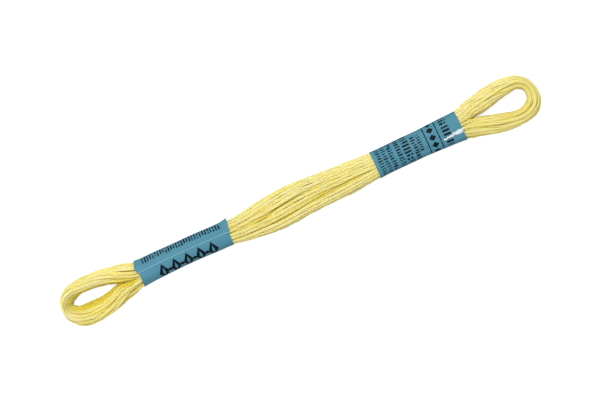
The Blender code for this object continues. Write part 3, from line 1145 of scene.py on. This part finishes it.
@dataclass(frozen=True)
class PaperBand:
    """A strip of paper rolled round the bundle and glued over itself.

    An angle says where on the bundle a place is: 0 to the left, 90 on top, 180 to the right.
    The strip runs from its hidden edge, against the floss, through rising angles to its free
    edge, which lies over its start. Its surface is the bundle's oval, made wider by the paper
    below and by the strip's own thickness, for each angle and each place along X.

    Args:
        name: The piece's name.
        node: The frame's node that it stands for.
        hidden_edge: Angle of the edge that the strip starts with.
        free_edge: Angle of the edge that it ends with, a full circle or more further on.
        left_end: Where its end towards -X is: angle and X, in rising order.
        right_end: The same for its end towards +X.
        crown: Angle of the line that its print is placed from.
        flare: How far its right end stands off at flare_angle.
        flare_angle: Where it does so.
        seed: Seed of its unevenness.
        columns: Points along X.
        step: Angle between rows of points.
    """

    name: str
    node: str
    hidden_edge: float
    free_edge: float
    left_end: tuple[tuple[float, float], ...]
    right_end: tuple[tuple[float, float], ...]
    crown: float
    flare: float = 0.0
    flare_angle: float = 15.0
    seed: int = 1
    columns: int = 72
    step: float = 3.0

    back: ClassVar[float] = -400.0  # added to the print map's second coordinate on the back
    core: ClassVar[float] = -800.0  # the same on its cut edges
    climb: ClassVar[float] = 25.0  # degrees over which the strip rises onto its own start
    rib: ClassVar[float] = 0.022  # how far the floss shows through as ribs
    waves: ClassVar[tuple] = (9, 13, 17, 22)  # how many ribs of each kind go round the band
    rib_reach: ClassVar[float] = 11.0  # length along X over which the ribs drift
    rib_shift: ClassVar[float] = 0.9  # how far they drift round the band, in radians of a wave
    flare_span: ClassVar[float] = 65.0  # degrees to either side over which the flare runs out
    flare_from: ClassVar[float] = 5.0  # how far from the end it starts
    flare_run: ClassVar[float] = 5.5  # length along X in which it reaches its size
    sharp: ClassVar[float] = 50.0  # angle from which an edge is drawn sharp

    def angles(self) -> Array:
        """Angle of each row of points."""
        span = self.free_edge - self.hidden_edge
        return np.linspace(self.hidden_edge, self.free_edge, round(span / self.step) + 1)

    def ends(self, angle: Array) -> tuple[Array, Array]:
        """Where along X the strip starts and stops at each angle, as two smooth curves."""
        ends = (np.array(self.left_end), np.array(self.right_end))
        return tuple(smooth_through(end[:, 0], end[:, 1:], angle)[:, 0] for end in ends)

    def surface(self, x: Array, angle: Array, depth: float) -> Array:
        """Places on the strip.

        The oval's point at an angle is its middle plus its half sizes, each plus the offset,
        times the cosine and the sine, over the root of their summed powers. The offset is the
        paper's thickness, less the depth, plus a second thickness where the strip lies on
        itself, plus low ribs and the flare. The strip never goes below the surface under it.

        Args:
            x: Place along X.
            angle: The place's angle, in an array of the same form.
            depth: How far inside the strip's outer face.

        Returns:
            Places in millimetres, with the coordinates on a last axis.
        """
        rows = HankForm().bundle_at(x.ravel())
        left, _, right, bottom, top = rows[:, :5].T.reshape(5, *x.shape)
        turned = np.radians(angle)
        cos, sin = np.cos(turned), np.sin(turned)
        powers = np.abs(cos) ** BUNDLE_SHAPE + np.abs(sin) ** BUNDLE_SHAPE
        spread = powers ** (-1 / BUNDLE_SHAPE)
        lapped = np.clip((angle - self.hidden_edge - 360) / self.climb + 1, 0, 1)
        offset = PRESS + PAPER - depth + (PAPER + GLUE) * (3 * lapped**2 - 2 * lapped**3)
        offset = offset + self.ribs(x, turned) + self.flaring(x, angle)
        y = (left + right) / 2 + ((left - right) / 2 + offset) * spread * cos
        z = (top + bottom) / 2 + ((top - bottom) / 2 + offset) * spread * sin
        return np.stack([x, y, np.maximum(z, depth)], -1)

    def ribs(self, x: Array, turned: Array) -> Array:
        """Low ribs along the floss: a sum of waves round the band that drift along X.

        Args:
            x: Place along X.
            turned: Its angle, in radians.

        Returns:
            How far each place stands out: less underneath.
        """
        total = np.zeros_like(x)
        for waves in self.waves:
            curves = drift(self.seed * 50 + waves, 2, x.ravel(), self.rib_reach)
            size, shift = curves.T.reshape(2, *x.shape)
            total += size * np.cos(waves * turned + self.rib_shift * shift)
        on_top = np.clip(np.sin(turned) * 2 + 1.6, 0.3, 1)
        return self.rib * total * on_top

    def flaring(self, x: Array, angle: Array) -> Array:
        """Flares the right end: by a square along X and a raised cosine round the band.

        Args:
            x: Place along X.
            angle: Its angle.

        Returns:
            How far each place stands off.
        """
        along = np.clip((x - self.right_end[0][1] + self.flare_from) / self.flare_run, 0, 1.1)
        round_it = (angle - self.flare_angle + 180) % 360 - 180
        near = np.clip(1 - np.abs(round_it) / self.flare_span, 0, 1)
        return self.flare * along**2 * (0.5 - 0.5 * np.cos(math.pi * near))

    def girth(self) -> Array:
        """Measures the strip along its face.

        Returns:
            Length from the crown to each row of points, negative beyond the crown.
        """
        angle = self.angles()
        middle = np.full_like(angle, (self.left_end[0][1] + self.right_end[0][1]) / 2)
        length = lengths_along(self.surface(middle, angle, 0.0))
        return np.interp(self.crown, angle, length) - length

    def build(self, material: Material) -> Object:
        """Builds the strip as one closed sheet of its true thickness.

        Args:
            material: The paper's finish.

        Returns:
            The object.
        """
        angle = self.angles()
        low, high = self.ends(angle)
        share = np.linspace(0, 1, self.columns)
        x = low[:, None] + (high - low)[:, None] * share
        turned = np.broadcast_to(angle[:, None], x.shape)
        places = [self.surface(x, turned, depth).reshape(-1, 3) for depth in (0.0, PAPER)]

        count = len(angle)
        number = np.arange(count * self.columns).reshape(count, self.columns)
        quad = (number[:-1, :-1], number[1:, :-1], number[1:, 1:], number[:-1, 1:])
        outside = np.stack(quad, -1).reshape(-1, 4)
        inside = outside[:, ::-1] + number.size
        rim = np.concatenate(
            [number[::-1, 0], number[0, 1:], number[1:, -1], number[-1, -2::-1]]
        )
        here, after = rim[:-1], rim[1:]
        walls = np.stack([here, after, after + number.size, here + number.size], -1)
        faces = [outside, inside, walls]
        made = new_piece(self.name, np.concatenate(places), faces, material)
        made.data.set_sharp_from_angle(angle=math.radians(self.sharp))
        self.map_for_baking(made.data, count, len(rim), outside)

        along = np.tile(x.ravel(), 2)
        around = np.tile(np.repeat(self.girth(), self.columns), 2)
        printed = (
            np.stack([along[block], around[block] + side], -1)
            for block, side in zip(faces, (0.0, self.back, self.core))
        )
        set_map(made.data, "print", *printed)
        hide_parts(self.node)
        return made

    def map_for_baking(self, mesh: Mesh, count: int, rim: int, sheet: Array) -> None:
        """Maps the strip's face across most of the square, and its back and cut edges below.

        Args:
            mesh: The strip's mesh, whose faces are face, back and cut edges in this order.
            count: Rows of points.
            rim: How many points go round the strip's edge, with the first one again.
            sheet: The face's quads.
        """
        row, column = np.divmod(sheet, self.columns)
        across, up = column / (self.columns - 1), row / (count - 1)
        face = np.stack([across, 0.16 + 0.84 * up], axis=-1)
        back = np.stack([across, 0.02 + 0.08 * up], axis=-1)[:, ::-1]
        edge = np.arange(rim - 1)[:, None] + np.array([0, 1, 1, 0])
        level = np.array([0.115, 0.115, 0.145, 0.145]) + 0 * edge
        set_map(mesh, BAKE_MAP, face, back, np.stack([edge / rim, level], axis=-1))


LEFT_BAND = PaperBand(
    name="paper_band_left",
    node="band_left",
    hidden_edge=-55.0,
    free_edge=446.5,
    left_end=(
        (-60.0, -52.15), (80.0, -52.20), (180.0, -52.45), (270.0, -52.50), (350.0, -52.30),
        (400.0, -52.50), (430.0, -53.00), (440.0, -52.80), (447.0, -52.20),
    ),
    right_end=(
        (-60.0, -23.05), (80.0, -22.95), (180.0, -23.25), (270.0, -22.90), (350.0, -22.20),
        (400.0, -22.20), (430.0, -22.60), (447.0, -22.80),
    ),
    crown=90.0,
    flare=0.55,
    seed=3,
)
RIGHT_BAND = PaperBand(
    name="paper_band_right",
    node="band_right",
    hidden_edge=145.0,
    free_edge=590.0,
    left_end=((140.0, 24.70), (360.0, 24.60), (450.0, 24.62), (540.0, 24.66), (595.0, 24.5)),
    right_end=((140.0, 52.55), (360.0, 52.50), (450.0, 52.60), (540.0, 52.72), (595.0, 52.7)),
    crown=450.0,
    seed=8,
)


# ---------------------------------------------------------------- nodes

Value = float | NodeSocket


@dataclass
class Bench:
    """Lays and wires the nodes of one tree."""

    tree: NodeTree

    def node(self, kind: str, **settings: object) -> bpy.types.Node:
        """Adds a node and gives it its settings."""
        made = self.tree.nodes.new(kind)
        for name, value in settings.items():
            setattr(made, name, value)
        return made

    def feed(self, socket: NodeSocket, value: object) -> None:
        """Links a socket to another, or sets it to a constant."""
        if isinstance(value, NodeSocket):
            self.tree.links.new(value, socket)
        else:
            socket.default_value = value

    def fed(self, kind: str, values: dict[str | int, object], **settings: object) -> bpy.types.Node:
        """Adds a node, with values for its inputs by name or number, and its settings."""
        made = self.node(kind, **settings)
        for name, value in values.items():
            self.feed(made.inputs[name], value)
        return made

    def dress(self, values: dict[str, object]) -> None:
        """Feeds inputs of the material's shader by name."""
        for name, value in values.items():
            self.feed(self.tree.nodes["Principled BSDF"].inputs[name], value)

    def math(self, operation: str, *values: Value, clamp: bool = False) -> Value:
        """One step of arithmetic."""
        numbered = dict(enumerate(values))
        return self.fed("ShaderNodeMath", numbered, operation=operation, use_clamp=clamp).outputs[0]

    def largest(self, values: Iterable[Value]) -> Value:
        """The largest of several numbers, and at least 0."""
        found: Value = 0.0
        for value in values:
            found = self.math("MAXIMUM", found, value)
        return found

    def ramp(self, value: Value, start: Value, stop: Value) -> Value:
        """0 below start, 1 above stop and smooth between, or the reverse if stop is lower."""
        values = {"Value": value, "From Min": start, "From Max": stop}
        return self.fed("ShaderNodeMapRange", values, interpolation_type="SMOOTHSTEP").outputs[0]

    def mix(self, share: Value, first: object, second: object) -> NodeSocket:
        """A colour between two others."""
        values = {0: share, 6: first, 7: second}
        return self.fed("ShaderNodeMix", values, data_type="RGBA").outputs[2]

    def noise(self, vector: object, scale: Value, detail: float = 2.0) -> Value:
        """Soft noise, from about 0.2 to 0.8."""
        values = {"Vector": vector, "Scale": scale, "Detail": detail}
        return self.fed("ShaderNodeTexNoise", values).outputs["Fac"]

    def chance(self, *values: Value) -> Value:
        """A random number that is the same wherever the values are."""
        vector = {"Vector": self.joined(*values)}
        return self.fed("ShaderNodeTexWhiteNoise", vector, noise_dimensions="3D").outputs["Value"]

    def joined(self, *values: Value) -> NodeSocket:
        """A vector of up to three numbers."""
        return self.fed("ShaderNodeCombineXYZ", dict(enumerate(values))).outputs[0]

    def place_on(self, uv_map: str) -> tuple[NodeSocket, NodeSocket]:
        """The two coordinates of a UV map."""
        found = self.node("ShaderNodeUVMap", uv_map=uv_map).outputs[0]
        return tuple(self.fed("ShaderNodeSeparateXYZ", {0: found}).outputs)[:2]

    def attribute(self, name: str) -> NodeSocket:
        """The number that a mesh's points have under that name."""
        return self.node("ShaderNodeAttribute", attribute_name=name).outputs["Fac"]

    def bump(self, height: Value, distance: float) -> None:
        """Gives the material's shader a relief of that height, whose unit is a distance in mm."""
        values = {"Height": height, "Distance": distance * MM, "Strength": 1.0}
        self.dress({"Normal": self.fed("ShaderNodeBump", values).outputs[0]})

    def use(self, effect: type[NodeEffect], *values: Value) -> bpy.types.NodeOutputs:
        """Places an effect's node group and feeds its inputs in order."""
        numbered = dict(enumerate(values))
        return self.fed("ShaderNodeGroup", numbered, node_tree=effect.group()).outputs


class NodeEffect:
    """A shader node group of numbers, built when it is first used."""

    name: ClassVar[str]
    inputs: ClassVar[tuple[str, ...]]
    outputs: ClassVar[tuple[str, ...]]

    @classmethod
    def group(cls) -> NodeTree:
        """Builds the group, unless it is there.

        Returns:
            The group.
        """
        if cls.name in bpy.data.node_groups:
            return bpy.data.node_groups[cls.name]
        tree = bpy.data.node_groups.new(cls.name, "ShaderNodeTree")
        for way, names in (("INPUT", cls.inputs), ("OUTPUT", cls.outputs)):
            for name in names:
                tree.interface.new_socket(name, in_out=way, socket_type="NodeSocketFloat")
        bench = Bench(tree)
        given = bench.node("NodeGroupInput").outputs
        found = cls.lay(bench, *(given[name] for name in cls.inputs))
        bench.fed("NodeGroupOutput", dict(zip(cls.outputs, found)))
        return tree

    @staticmethod
    def lay(bench: Bench, *given: NodeSocket) -> tuple[Value, ...]:
        """Lays the group's nodes.

        Args:
            bench: The group's tree.
            given: The group's inputs, in order.

        Returns:
            What each output gives, in order.
        """
        raise NotImplementedError


class YarnTwist(NodeEffect):
    """Two yarns laid round each other: two rounded ridges that wind round the ply.

    A ridge's height is the root of one less the square of the distance from its middle, where
    that distance goes from -1 to 1. The ridges wind, so the phase is twice the way round the
    ply less twice the way along it over the lay.
    """

    name = "yarn_twist"
    inputs = ("Along", "Around", "Lay")
    outputs = ("Height", "Groove")

    @staticmethod
    def lay(bench: Bench, *given: NodeSocket) -> tuple[Value, ...]:
        """Lays the group's nodes; see NodeEffect."""
        along, around, lay = given
        turns = bench.math("DIVIDE", along, lay)
        phase = bench.math("MULTIPLY", bench.math("SUBTRACT", around, turns), 2.0)
        away = bench.math("MULTIPLY_ADD", bench.math("FRACT", phase), 2.0, -1.0)
        square = bench.math("MULTIPLY", away, away)
        height = bench.math("SQRT", bench.math("SUBTRACT", 1.02, square))
        return height, bench.ramp(square, 0.55, 1.0)


class Fibres(NodeEffect):
    """Fine fibres: noise drawn out along one direction, and slow drifts of tone."""

    name = "fibres"
    inputs = ("Along", "Across", "Through", "Length", "Width")
    outputs = ("Height", "Tone")

    @staticmethod
    def lay(bench: Bench, *given: NodeSocket) -> tuple[Value, ...]:
        """Lays the group's nodes; see NodeEffect."""
        along, across, through, length, width = given
        place = bench.joined(
            bench.math("DIVIDE", along, length), bench.math("DIVIDE", across, width), through
        )
        return bench.noise(place, 1.0, 3.0), bench.noise(place, 0.21, 2.0)


class PrintMark(NodeEffect):
    """One printed figure: a superellipse, solid or as a line of even width.

    The power gives its shape: 1 a diamond, about 2 an oval, and a large one a box.
    """

    name = "print_mark"
    inputs = ("Along", "Across", "Half Length", "Half Width", "Line", "Power")
    outputs = ("Mask",)

    @staticmethod
    def lay(bench: Bench, *given: NodeSocket) -> tuple[Value, ...]:
        """Lays the group's nodes; see NodeEffect."""
        along, across, half_length, half_width, line, power = given

        def reach(less: Value) -> Value:
            """Sums the powers of a place's shares of the figure's half sizes.

            Args:
                less: By how much the figure is made smaller all round.

            Returns:
                Less than 1 inside it.
            """
            powers = []
            for place, half in ((along, half_length), (across, half_width)):
                size = bench.math("MAXIMUM", bench.math("SUBTRACT", half, less), 0.001)
                share = bench.math("ABSOLUTE", bench.math("DIVIDE", place, size))
                powers.append(bench.math("POWER", share, power))
            return bench.math("ADD", *powers)

        outside = bench.math("LESS_THAN", reach(0.0), 1.0)
        inside = bench.math("GREATER_THAN", reach(line), 1.0)
        return (bench.math("MULTIPLY", outside, inside),)


class PrintRow(NodeEffect):
    """A row of printed ticks of uneven height and thickness, some broken, and a few left out."""

    name = "print_row"
    inputs = ("Along", "Across", "Half Length", "Half Width", "Pitch", "Weight", "Seed")
    outputs = ("Mask",)

    @staticmethod
    def lay(bench: Bench, *given: NodeSocket) -> tuple[Value, ...]:
        """Lays the group's nodes; see NodeEffect."""
        along, across, half_length, half_width, pitch, weight, seed = given
        place = bench.math("DIVIDE", along, pitch)
        tick = bench.math("FLOOR", place)
        within = bench.math("FRACT", place)
        thick, top, foot, gap, printed = (
            bench.chance(tick, seed, float(draw)) for draw in range(5)
        )
        share = bench.math("DIVIDE", across, half_width)
        gap_at = bench.math("MULTIPLY_ADD", gap, 4.4, -3.3)
        from_gap = bench.math("ABSOLUTE", bench.math("SUBTRACT", share, gap_at))
        tests = (
            ("LESS_THAN", within, bench.math("MULTIPLY_ADD", thick, 0.20, weight)),
            ("GREATER_THAN", share, bench.math("MULTIPLY_ADD", top, 1.2, -1.8)),
            ("LESS_THAN", share, bench.math("MULTIPLY_ADD", foot, -1.2, 1.8)),
            ("GREATER_THAN", from_gap, 0.16),
            ("GREATER_THAN", printed, 0.03),
            ("LESS_THAN", bench.math("ABSOLUTE", share), 1.0),
            ("LESS_THAN", bench.math("ABSOLUTE", along), half_length),
        )
        stroke, *others = (bench.math(*test) for test in tests)
        for other in others:
            stroke = bench.math("MULTIPLY", stroke, other)
        return (stroke,)


class PalePatchMask(NodeEffect):
    """A pale patch laid over the print: an oval with an edge that noise makes ragged."""

    name = "rubbed"
    inputs = ("Along", "Across", "Half Length", "Half Width", "Raggedness")
    outputs = ("Mask",)

    @staticmethod
    def lay(bench: Bench, *given: NodeSocket) -> tuple[Value, ...]:
        """Lays the group's nodes; see NodeEffect."""
        along, across, half_length, half_width, raggedness = given
        rough = bench.noise(bench.joined(along, across, 0.0), 1.5, 4.0)
        shares = [
            bench.math("DIVIDE", along, half_length), bench.math("DIVIDE", across, half_width)
        ]
        square = bench.math("ADD", *(bench.math("MULTIPLY", share, share) for share in shares))
        shift = bench.math("MULTIPLY", bench.math("SUBTRACT", rough, 0.5), raggedness)
        return (bench.ramp(bench.math("ADD", square, shift), 1.15, 0.85),)


# ---------------------------------------------------------------- finishes

Colour = tuple[float, float, float, float]


def dressed(name: str, constants: dict[str, object]) -> tuple[Material, Bench]:
    """Makes a material.

    Args:
        name: The material's name.
        constants: What its shader's sockets are set to.

    Returns:
        The material and its tree's bench.
    """
    material = bpy.data.materials.new(name)
    material.use_nodes = True
    bench = Bench(material.node_tree)
    bench.dress(constants)
    return material, bench


@dataclass(frozen=True)
class CottonFinish:
    """Mercerised cotton: glossy, slightly see-through plies of two yarns each.

    Args:
        deep: Colour where dye is strongest.
        pale: Colour where it is weakest.
        buried: Colour of the painted golden shade deep between the turns, low on the eyes' walls and
            away from the lamp, standing in for light that has gone through other turns.
        groove: Colour of the painted shade between the two yarns of a ply.
        lay: Length in which the two yarns of a ply go once round each other.
        ridge: How far the yarns stand out, in millimetres.
    """

    deep: Colour = (0.87, 0.718, 0.180, 1)
    pale: Colour = (0.93, 0.828, 0.425, 1)
    buried: Colour = (0.72, 0.570, 0.060, 1)
    groove: Colour = (0.55, 0.410, 0.080, 1)
    lay: float = 1.3
    ridge: float = 0.10

    fibre: ClassVar[tuple[float, float]] = (1.4, 1.0)  # a fibre's length and width on its map
    fibres_round: ClassVar[float] = 9.0  # widths of a fibre round a ply
    streaks: ClassVar[float] = 1.3  # how far the fibres' tone changes the dye's
    groove_shade_tone: ClassVar[float] = -0.5  # how far the painted shade between the yarns moves the dye's tone
    groove_shade_share: ClassVar[float] = 0.65  # how much of its own colour the painted shade between the yarns shows
    fibre_ridge: ClassVar[float] = 0.5  # height of the fibres over that of the yarns

    def material(self) -> Material:
        """Makes the material.

        Returns:
            The material.
        """
        made, bench = dressed(
            "mercerised_cotton",
            {
                "Roughness": 0.5,
                "Specular IOR Level": 0.1,
                "Subsurface Weight": 0.4,
                "Subsurface Radius": (1.0, 0.75, 0.18),
                "Subsurface Scale": 0.0006,
            },
        )
        along, around = bench.place_on("ply")
        tone = bench.attribute("tone")
        twist = bench.use(YarnTwist, along, around, self.lay)
        across = bench.math("MULTIPLY", around, self.fibres_round)
        fibres = bench.use(Fibres, along, across, tone, *self.fibre)
        streak = bench.math("SUBTRACT", fibres["Tone"], 0.5)
        light = bench.math("MULTIPLY_ADD", streak, self.streaks, tone)
        # Painted shade between the yarns: the dye's tone goes deeper there, and the shade's colour is
        # laid over it.
        light = bench.math("MULTIPLY_ADD", twist["Groove"], self.groove_shade_tone, light, clamp=True)
        colour = bench.mix(light, self.deep, self.pale)
        groove = bench.math("MULTIPLY", twist["Groove"], self.groove_shade_share)
        colour = bench.mix(groove, colour, self.groove)
        # Painted golden shade deep between the turns, low on the eyes' walls and away from the lamp.
        colour = bench.mix(bench.attribute("buried"), colour, self.buried)
        bench.dress({"Base Color": colour})
        height = bench.math("MULTIPLY_ADD", fibres["Height"], self.fibre_ridge, twist["Height"])
        bench.bump(height, self.ridge)
        return made


class Figure(Enum):
    """Shapes of printed figures, by the power of their superellipse."""

    DIAMOND = 1.0
    OVAL = 2.4
    BOX = 60.0


@dataclass(frozen=True)
class Spot:
    """Something on the print map: its middle, half its length and half its width."""

    x: float
    girth: float
    half_length: float
    half_width: float

    effect: ClassVar[type[NodeEffect]]
    crosswise: ClassVar[bool] = False  # whether its length runs round the band

    def more(self) -> tuple[float, ...]:
        """What its effect is given beyond its place and size."""
        raise NotImplementedError

    def mask(self, bench: Bench, x: Value, girth: Value) -> Value:
        """Lays the spot's nodes.

        Args:
            bench: The material's tree.
            x: First coordinate of the print map.
            girth: Its second coordinate.

        Returns:
            1 on the spot and 0 elsewhere.
        """
        place = [bench.math("SUBTRACT", x, self.x), bench.math("SUBTRACT", girth, self.girth)]
        if self.crosswise:
            place.reverse()
        sizes = (self.half_length, self.half_width)
        return bench.use(self.effect, *place, *sizes, *self.more())["Mask"]


@dataclass(frozen=True)
class Mark(Spot):
    """One printed figure. The width of its line is 0 for a solid one."""

    figure: Figure
    line: float = 0.0

    effect = PrintMark

    def more(self) -> tuple[float, ...]:
        """Its line's width and its power."""
        return self.line or self.half_length, self.figure.value


@dataclass(frozen=True)
class Row(Spot):
    """A row of ticks. Its weight is the least share of the pitch that a tick fills."""

    pitch: float
    weight: float
    seed: float

    effect = PrintRow

    def more(self) -> tuple[float, ...]:
        """Its pitch, weight and seed."""
        return self.pitch, self.weight, self.seed


class CrossRow(Row):
    """A row of ticks whose length runs round the band."""

    crosswise = True


@dataclass(frozen=True)
class PalePatch(Spot):
    """A pale patch, with a ragged edge."""

    raggedness: float

    effect = PalePatchMask

    def more(self) -> tuple[float, ...]:
        """Its raggedness."""
        return (self.raggedness,)


@dataclass(frozen=True)
class PaperFinish:
    """Printed label paper: a coloured face with dark print, a pale back and pale cut edges.

    Args:
        name: The material's name.
        free_girth: Where the strip's free edge is on the print map.
        spots: Its figures and rows of ticks.
        pale_patches: Where pale patches lie on it, rougher and a little lower.
    """

    name: str
    free_girth: float
    spots: tuple[Spot, ...]
    pale_patches: tuple[PalePatch, ...] = ()

    face: ClassVar[Colour] = (0.055, 0.190, 0.262, 1)
    face_pale: ClassVar[Colour] = (0.078, 0.234, 0.312, 1)
    ink: ClassVar[Colour] = (0.000, 0.004, 0.010, 1)
    bare: ClassVar[Colour] = (0.66, 0.68, 0.70, 1)
    cut: ClassVar[Colour] = (0.18, 0.38, 0.47, 1)
    relief: ClassVar[float] = 0.012  # height of its fibres, in millimetres
    edge_width: ClassVar[tuple[float, float]] = (0.26, 0.16)  # where the cut edge's line fades
    flecks: ClassVar[tuple[float, float]] = (0.26, 0.36)  # noise below which the ink is missing

    def material(self) -> Material:
        """Makes the material.

        Returns:
            The material.
        """
        made, bench = dressed(self.name, {"Roughness": 0.5, "Specular IOR Level": 0.1})
        x, girth = bench.place_on("print")
        fibres = bench.use(Fibres, x, girth, 0.0, 0.9, 0.35)
        colour = bench.mix(fibres["Tone"], self.face, self.face_pale)
        speckle = bench.noise(bench.joined(x, girth, 3.0), 2.6, 4.0)
        inked = bench.largest(spot.mask(bench, x, girth) for spot in self.spots)
        inked = bench.math("MULTIPLY", inked, bench.ramp(speckle, *self.flecks))
        colour = bench.mix(inked, colour, self.ink)
        # Pale patches over the print, in the bare paper's colour, rougher and a little lower.
        pale_share = bench.largest(patch.mask(bench, x, girth) for patch in self.pale_patches)
        colour = bench.mix(pale_share, colour, self.bare)
        from_edge = bench.math("SUBTRACT", girth, self.free_girth)
        by_edge = bench.ramp(from_edge, *self.edge_width)
        edge = bench.math("MULTIPLY", by_edge, bench.ramp(fibres["Height"], 0.25, 0.50))
        colour = bench.mix(edge, colour, self.cut)
        unprinted = bench.math("LESS_THAN", girth, PaperBand.back / 2)
        colour = bench.mix(unprinted, colour, self.bare)
        rough = bench.math("MULTIPLY_ADD", pale_share, 0.25, 0.48)
        rough = bench.math("MULTIPLY_ADD", fibres["Tone"], 0.12, rough)
        bench.dress({"Base Color": colour, "Roughness": rough})
        bench.bump(bench.math("MULTIPLY_ADD", pale_share, -1.5, fibres["Height"]), self.relief)
        return made


def left_paper(band: PaperBand) -> PaperFinish:
    """Prints the left band: a row of ticks past its free edge, and diamonds between dots.

    Args:
        band: The band.

    Returns:
        Its paper.
    """
    free = float(band.girth()[-1])
    middle = -2.9
    diamonds = (
        Mark(x, middle, 1.65, 2.75, Figure.DIAMOND, line=1.25)
        for x in (-45.2, -41.2, -37.2, -33.2, -29.2)
    )
    dots = (Mark(x, middle, 0.50, 0.60, Figure.OVAL) for x in (-43.2, -39.2, -35.2, -31.2))
    row = Row(-37.3, free + 3.25, 12.8, 1.30, pitch=0.85, weight=0.40, seed=10.0)
    return PaperFinish("left_band_paper", free, (*diamonds, *dots, row))


def right_paper(band: PaperBand) -> PaperFinish:
    """Prints the right band: rows of ticks across it, and a strip of diamonds between rules.

    Args:
        band: The band.

    Returns:
        Its paper.
    """
    rows = (
        CrossRow(*sizes, seed=float(seed))
        for seed, sizes in enumerate(
            (
                # x, girth, half length, half width, pitch, weight
                (26.5, 0.0, 5.8, 0.70, 0.82, 0.37),
                (28.3, 0.0, 5.8, 0.70, 0.80, 0.39),
                (30.2, 0.0, 5.8, 0.70, 0.84, 0.48),
                (32.7, 0.0, 5.8, 0.75, 0.86, 0.46),
                (35.15, 0.0, 5.6, 1.12, 1.05, 0.47),
                (37.65, -0.8, 4.0, 0.70, 0.80, 0.50),
                (39.3, 0.2, 2.6, 0.62, 0.80, 0.44),
                (47.9, 0.0, 5.8, 1.12, 1.10, 0.46),
            ),
            start=10,
        )
    )
    rules = (Mark(x, 0.0, 0.16, 5.6, Figure.BOX) for x in (41.5, 45.4))
    diamonds = (
        Mark(43.45, girth, 1.15, 0.95, Figure.DIAMOND) for girth in (-4.6, -2.3, 0.0, 2.3, 4.6)
    )
    pale_patches = (
        PalePatch(51.4, -1.45, 1.90, 0.60, 5.0),
        PalePatch(49.6, -1.62, 1.30, 0.36, 9.0),
        PalePatch(47.6, -1.90, 1.80, 0.28, 9.0),
    )
    free = float(band.girth()[-1])
    return PaperFinish("right_band_paper", free, (*rules, *diamonds, *rows), pale_patches)


# ---------------------------------------------------------------- studio


@dataclass(frozen=True)
class Studio:
    """A white table under soft light, and a camera straight above it.

    Args:
        view_width: Width of what the camera sees of the table, in metres.
        lens: The camera's focal length, in millimetres.
        sensor: Width of its sensor.
        aim: Where on the table it looks, in metres.
        roll: How far the picture is turned, in degrees.
        focus: How far above the origin what it looks at lies, in metres.
        half_table: Half the table's width, in metres.
        dip: How far the table's top lies below the frame's, so that no thread sinks into it.
        sky: Strength of the light from all round.
        key: Power of the one large lamp, in watts.
        key_size: Width of the lamp, in metres.
        key_place: Where it hangs, in metres.
        key_tilt: How far it is turned about X and Y, in degrees.
    """

    view_width: float = 0.1781
    lens: float = 200.0
    sensor: float = 36.0
    aim: tuple[float, float] = (0.00012, 0.00004)
    roll: float = -25.0
    focus: float = 0.003
    half_table: float = 2.0
    dip: float = 0.0001
    sky: float = 0.74
    key: float = 5.0
    key_size: float = 0.45
    key_place: tuple[float, float, float] = (-0.14, 0.32, 0.78)
    key_tilt: tuple[float, float] = (-22, -10)

    def build(self) -> None:
        """Builds the table, the light and the camera."""
        self.table()
        self.light()
        self.camera()

    def table(self) -> None:
        """Lays the table's top, which is plain white to the camera."""
        mesh = bpy.data.meshes.new("table")
        signs = ((-1, -1), (1, -1), (1, 1), (-1, 1))
        corners = [(x * self.half_table, y * self.half_table, -self.dip) for x, y in signs]
        mesh.from_pydata(corners, [], [(0, 1, 2, 3)])
        made = placed("table", mesh)
        constants = {"Base Color": (0.55, 0.55, 0.55, 1), "Roughness": 0.9, "Emission Strength": 0.8}
        material, bench = dressed("table", constants)
        seen = bench.node("ShaderNodeLightPath").outputs["Is Camera Ray"]
        bench.dress({"Emission Color": bench.mix(seen, (0, 0, 0, 1), (1, 1, 1, 1))})
        mesh.materials.append(material)

    def light(self) -> None:
        """Hangs a large lamp behind and to the left, under an even sky."""
        world = bpy.data.worlds.new("studio")
        bpy.context.scene.world = world
        world.use_nodes = True
        background = world.node_tree.nodes["Background"]
        background.inputs["Color"].default_value = (1, 1, 1, 1)
        background.inputs["Strength"].default_value = self.sky
        lamp = bpy.data.lights.new("key", "AREA")
        lamp.shape = "DISK"
        lamp.size = self.key_size
        lamp.energy = self.key
        made = placed("key", lamp)
        made.location = self.key_place
        made.rotation_euler = (*(math.radians(tilt) for tilt in self.key_tilt), 0)

    def camera(self) -> None:
        """Puts the camera straight above the table, far enough away for a long lens."""
        data = bpy.data.cameras.new("camera")
        data.sensor_width = self.sensor
        data.lens = self.lens
        made = placed("camera", data)
        made.location = (*self.aim, self.view_width * self.lens / self.sensor + self.focus)
        made.rotation_euler = (0, 0, math.radians(self.roll))
        bpy.context.scene.camera = made
        bpy.context.scene.view_settings.view_transform = "Standard"


def report(piece: Object) -> None:
    """Logs one finished piece."""
    LOG.info("%s: %d faces", piece.name, len(piece.data.polygons))


def main() -> None:
    """Builds the hank piece by piece."""
    thread = Winding().thread()
    plies = PlyLay().tubes(thread)
    cotton = CottonFinish().material()
    stretches = (
        ("floss_body", (9, 9, 8), 0, thread.loop_ring),
        ("floss_right_loop", (13, 13), thread.loop_ring, thread.rings),
    )
    for name, shares, first_ring, last_ring in stretches:
        first = 0
        for number, turns in enumerate(shares, start=1):
            piece = FlossPiece(f"{name}_{number}", first, turns, first_ring, last_ring)
            report(piece.build(thread, plies, cotton))
            first += turns
    for band, paper in ((LEFT_BAND, left_paper), (RIGHT_BAND, right_paper)):
        report(band.build(paper(band).material()))
    Studio().build()


if __name__ == "__main__":
    logging.basicConfig(level=logging.INFO, format="%(message)s")
    main()
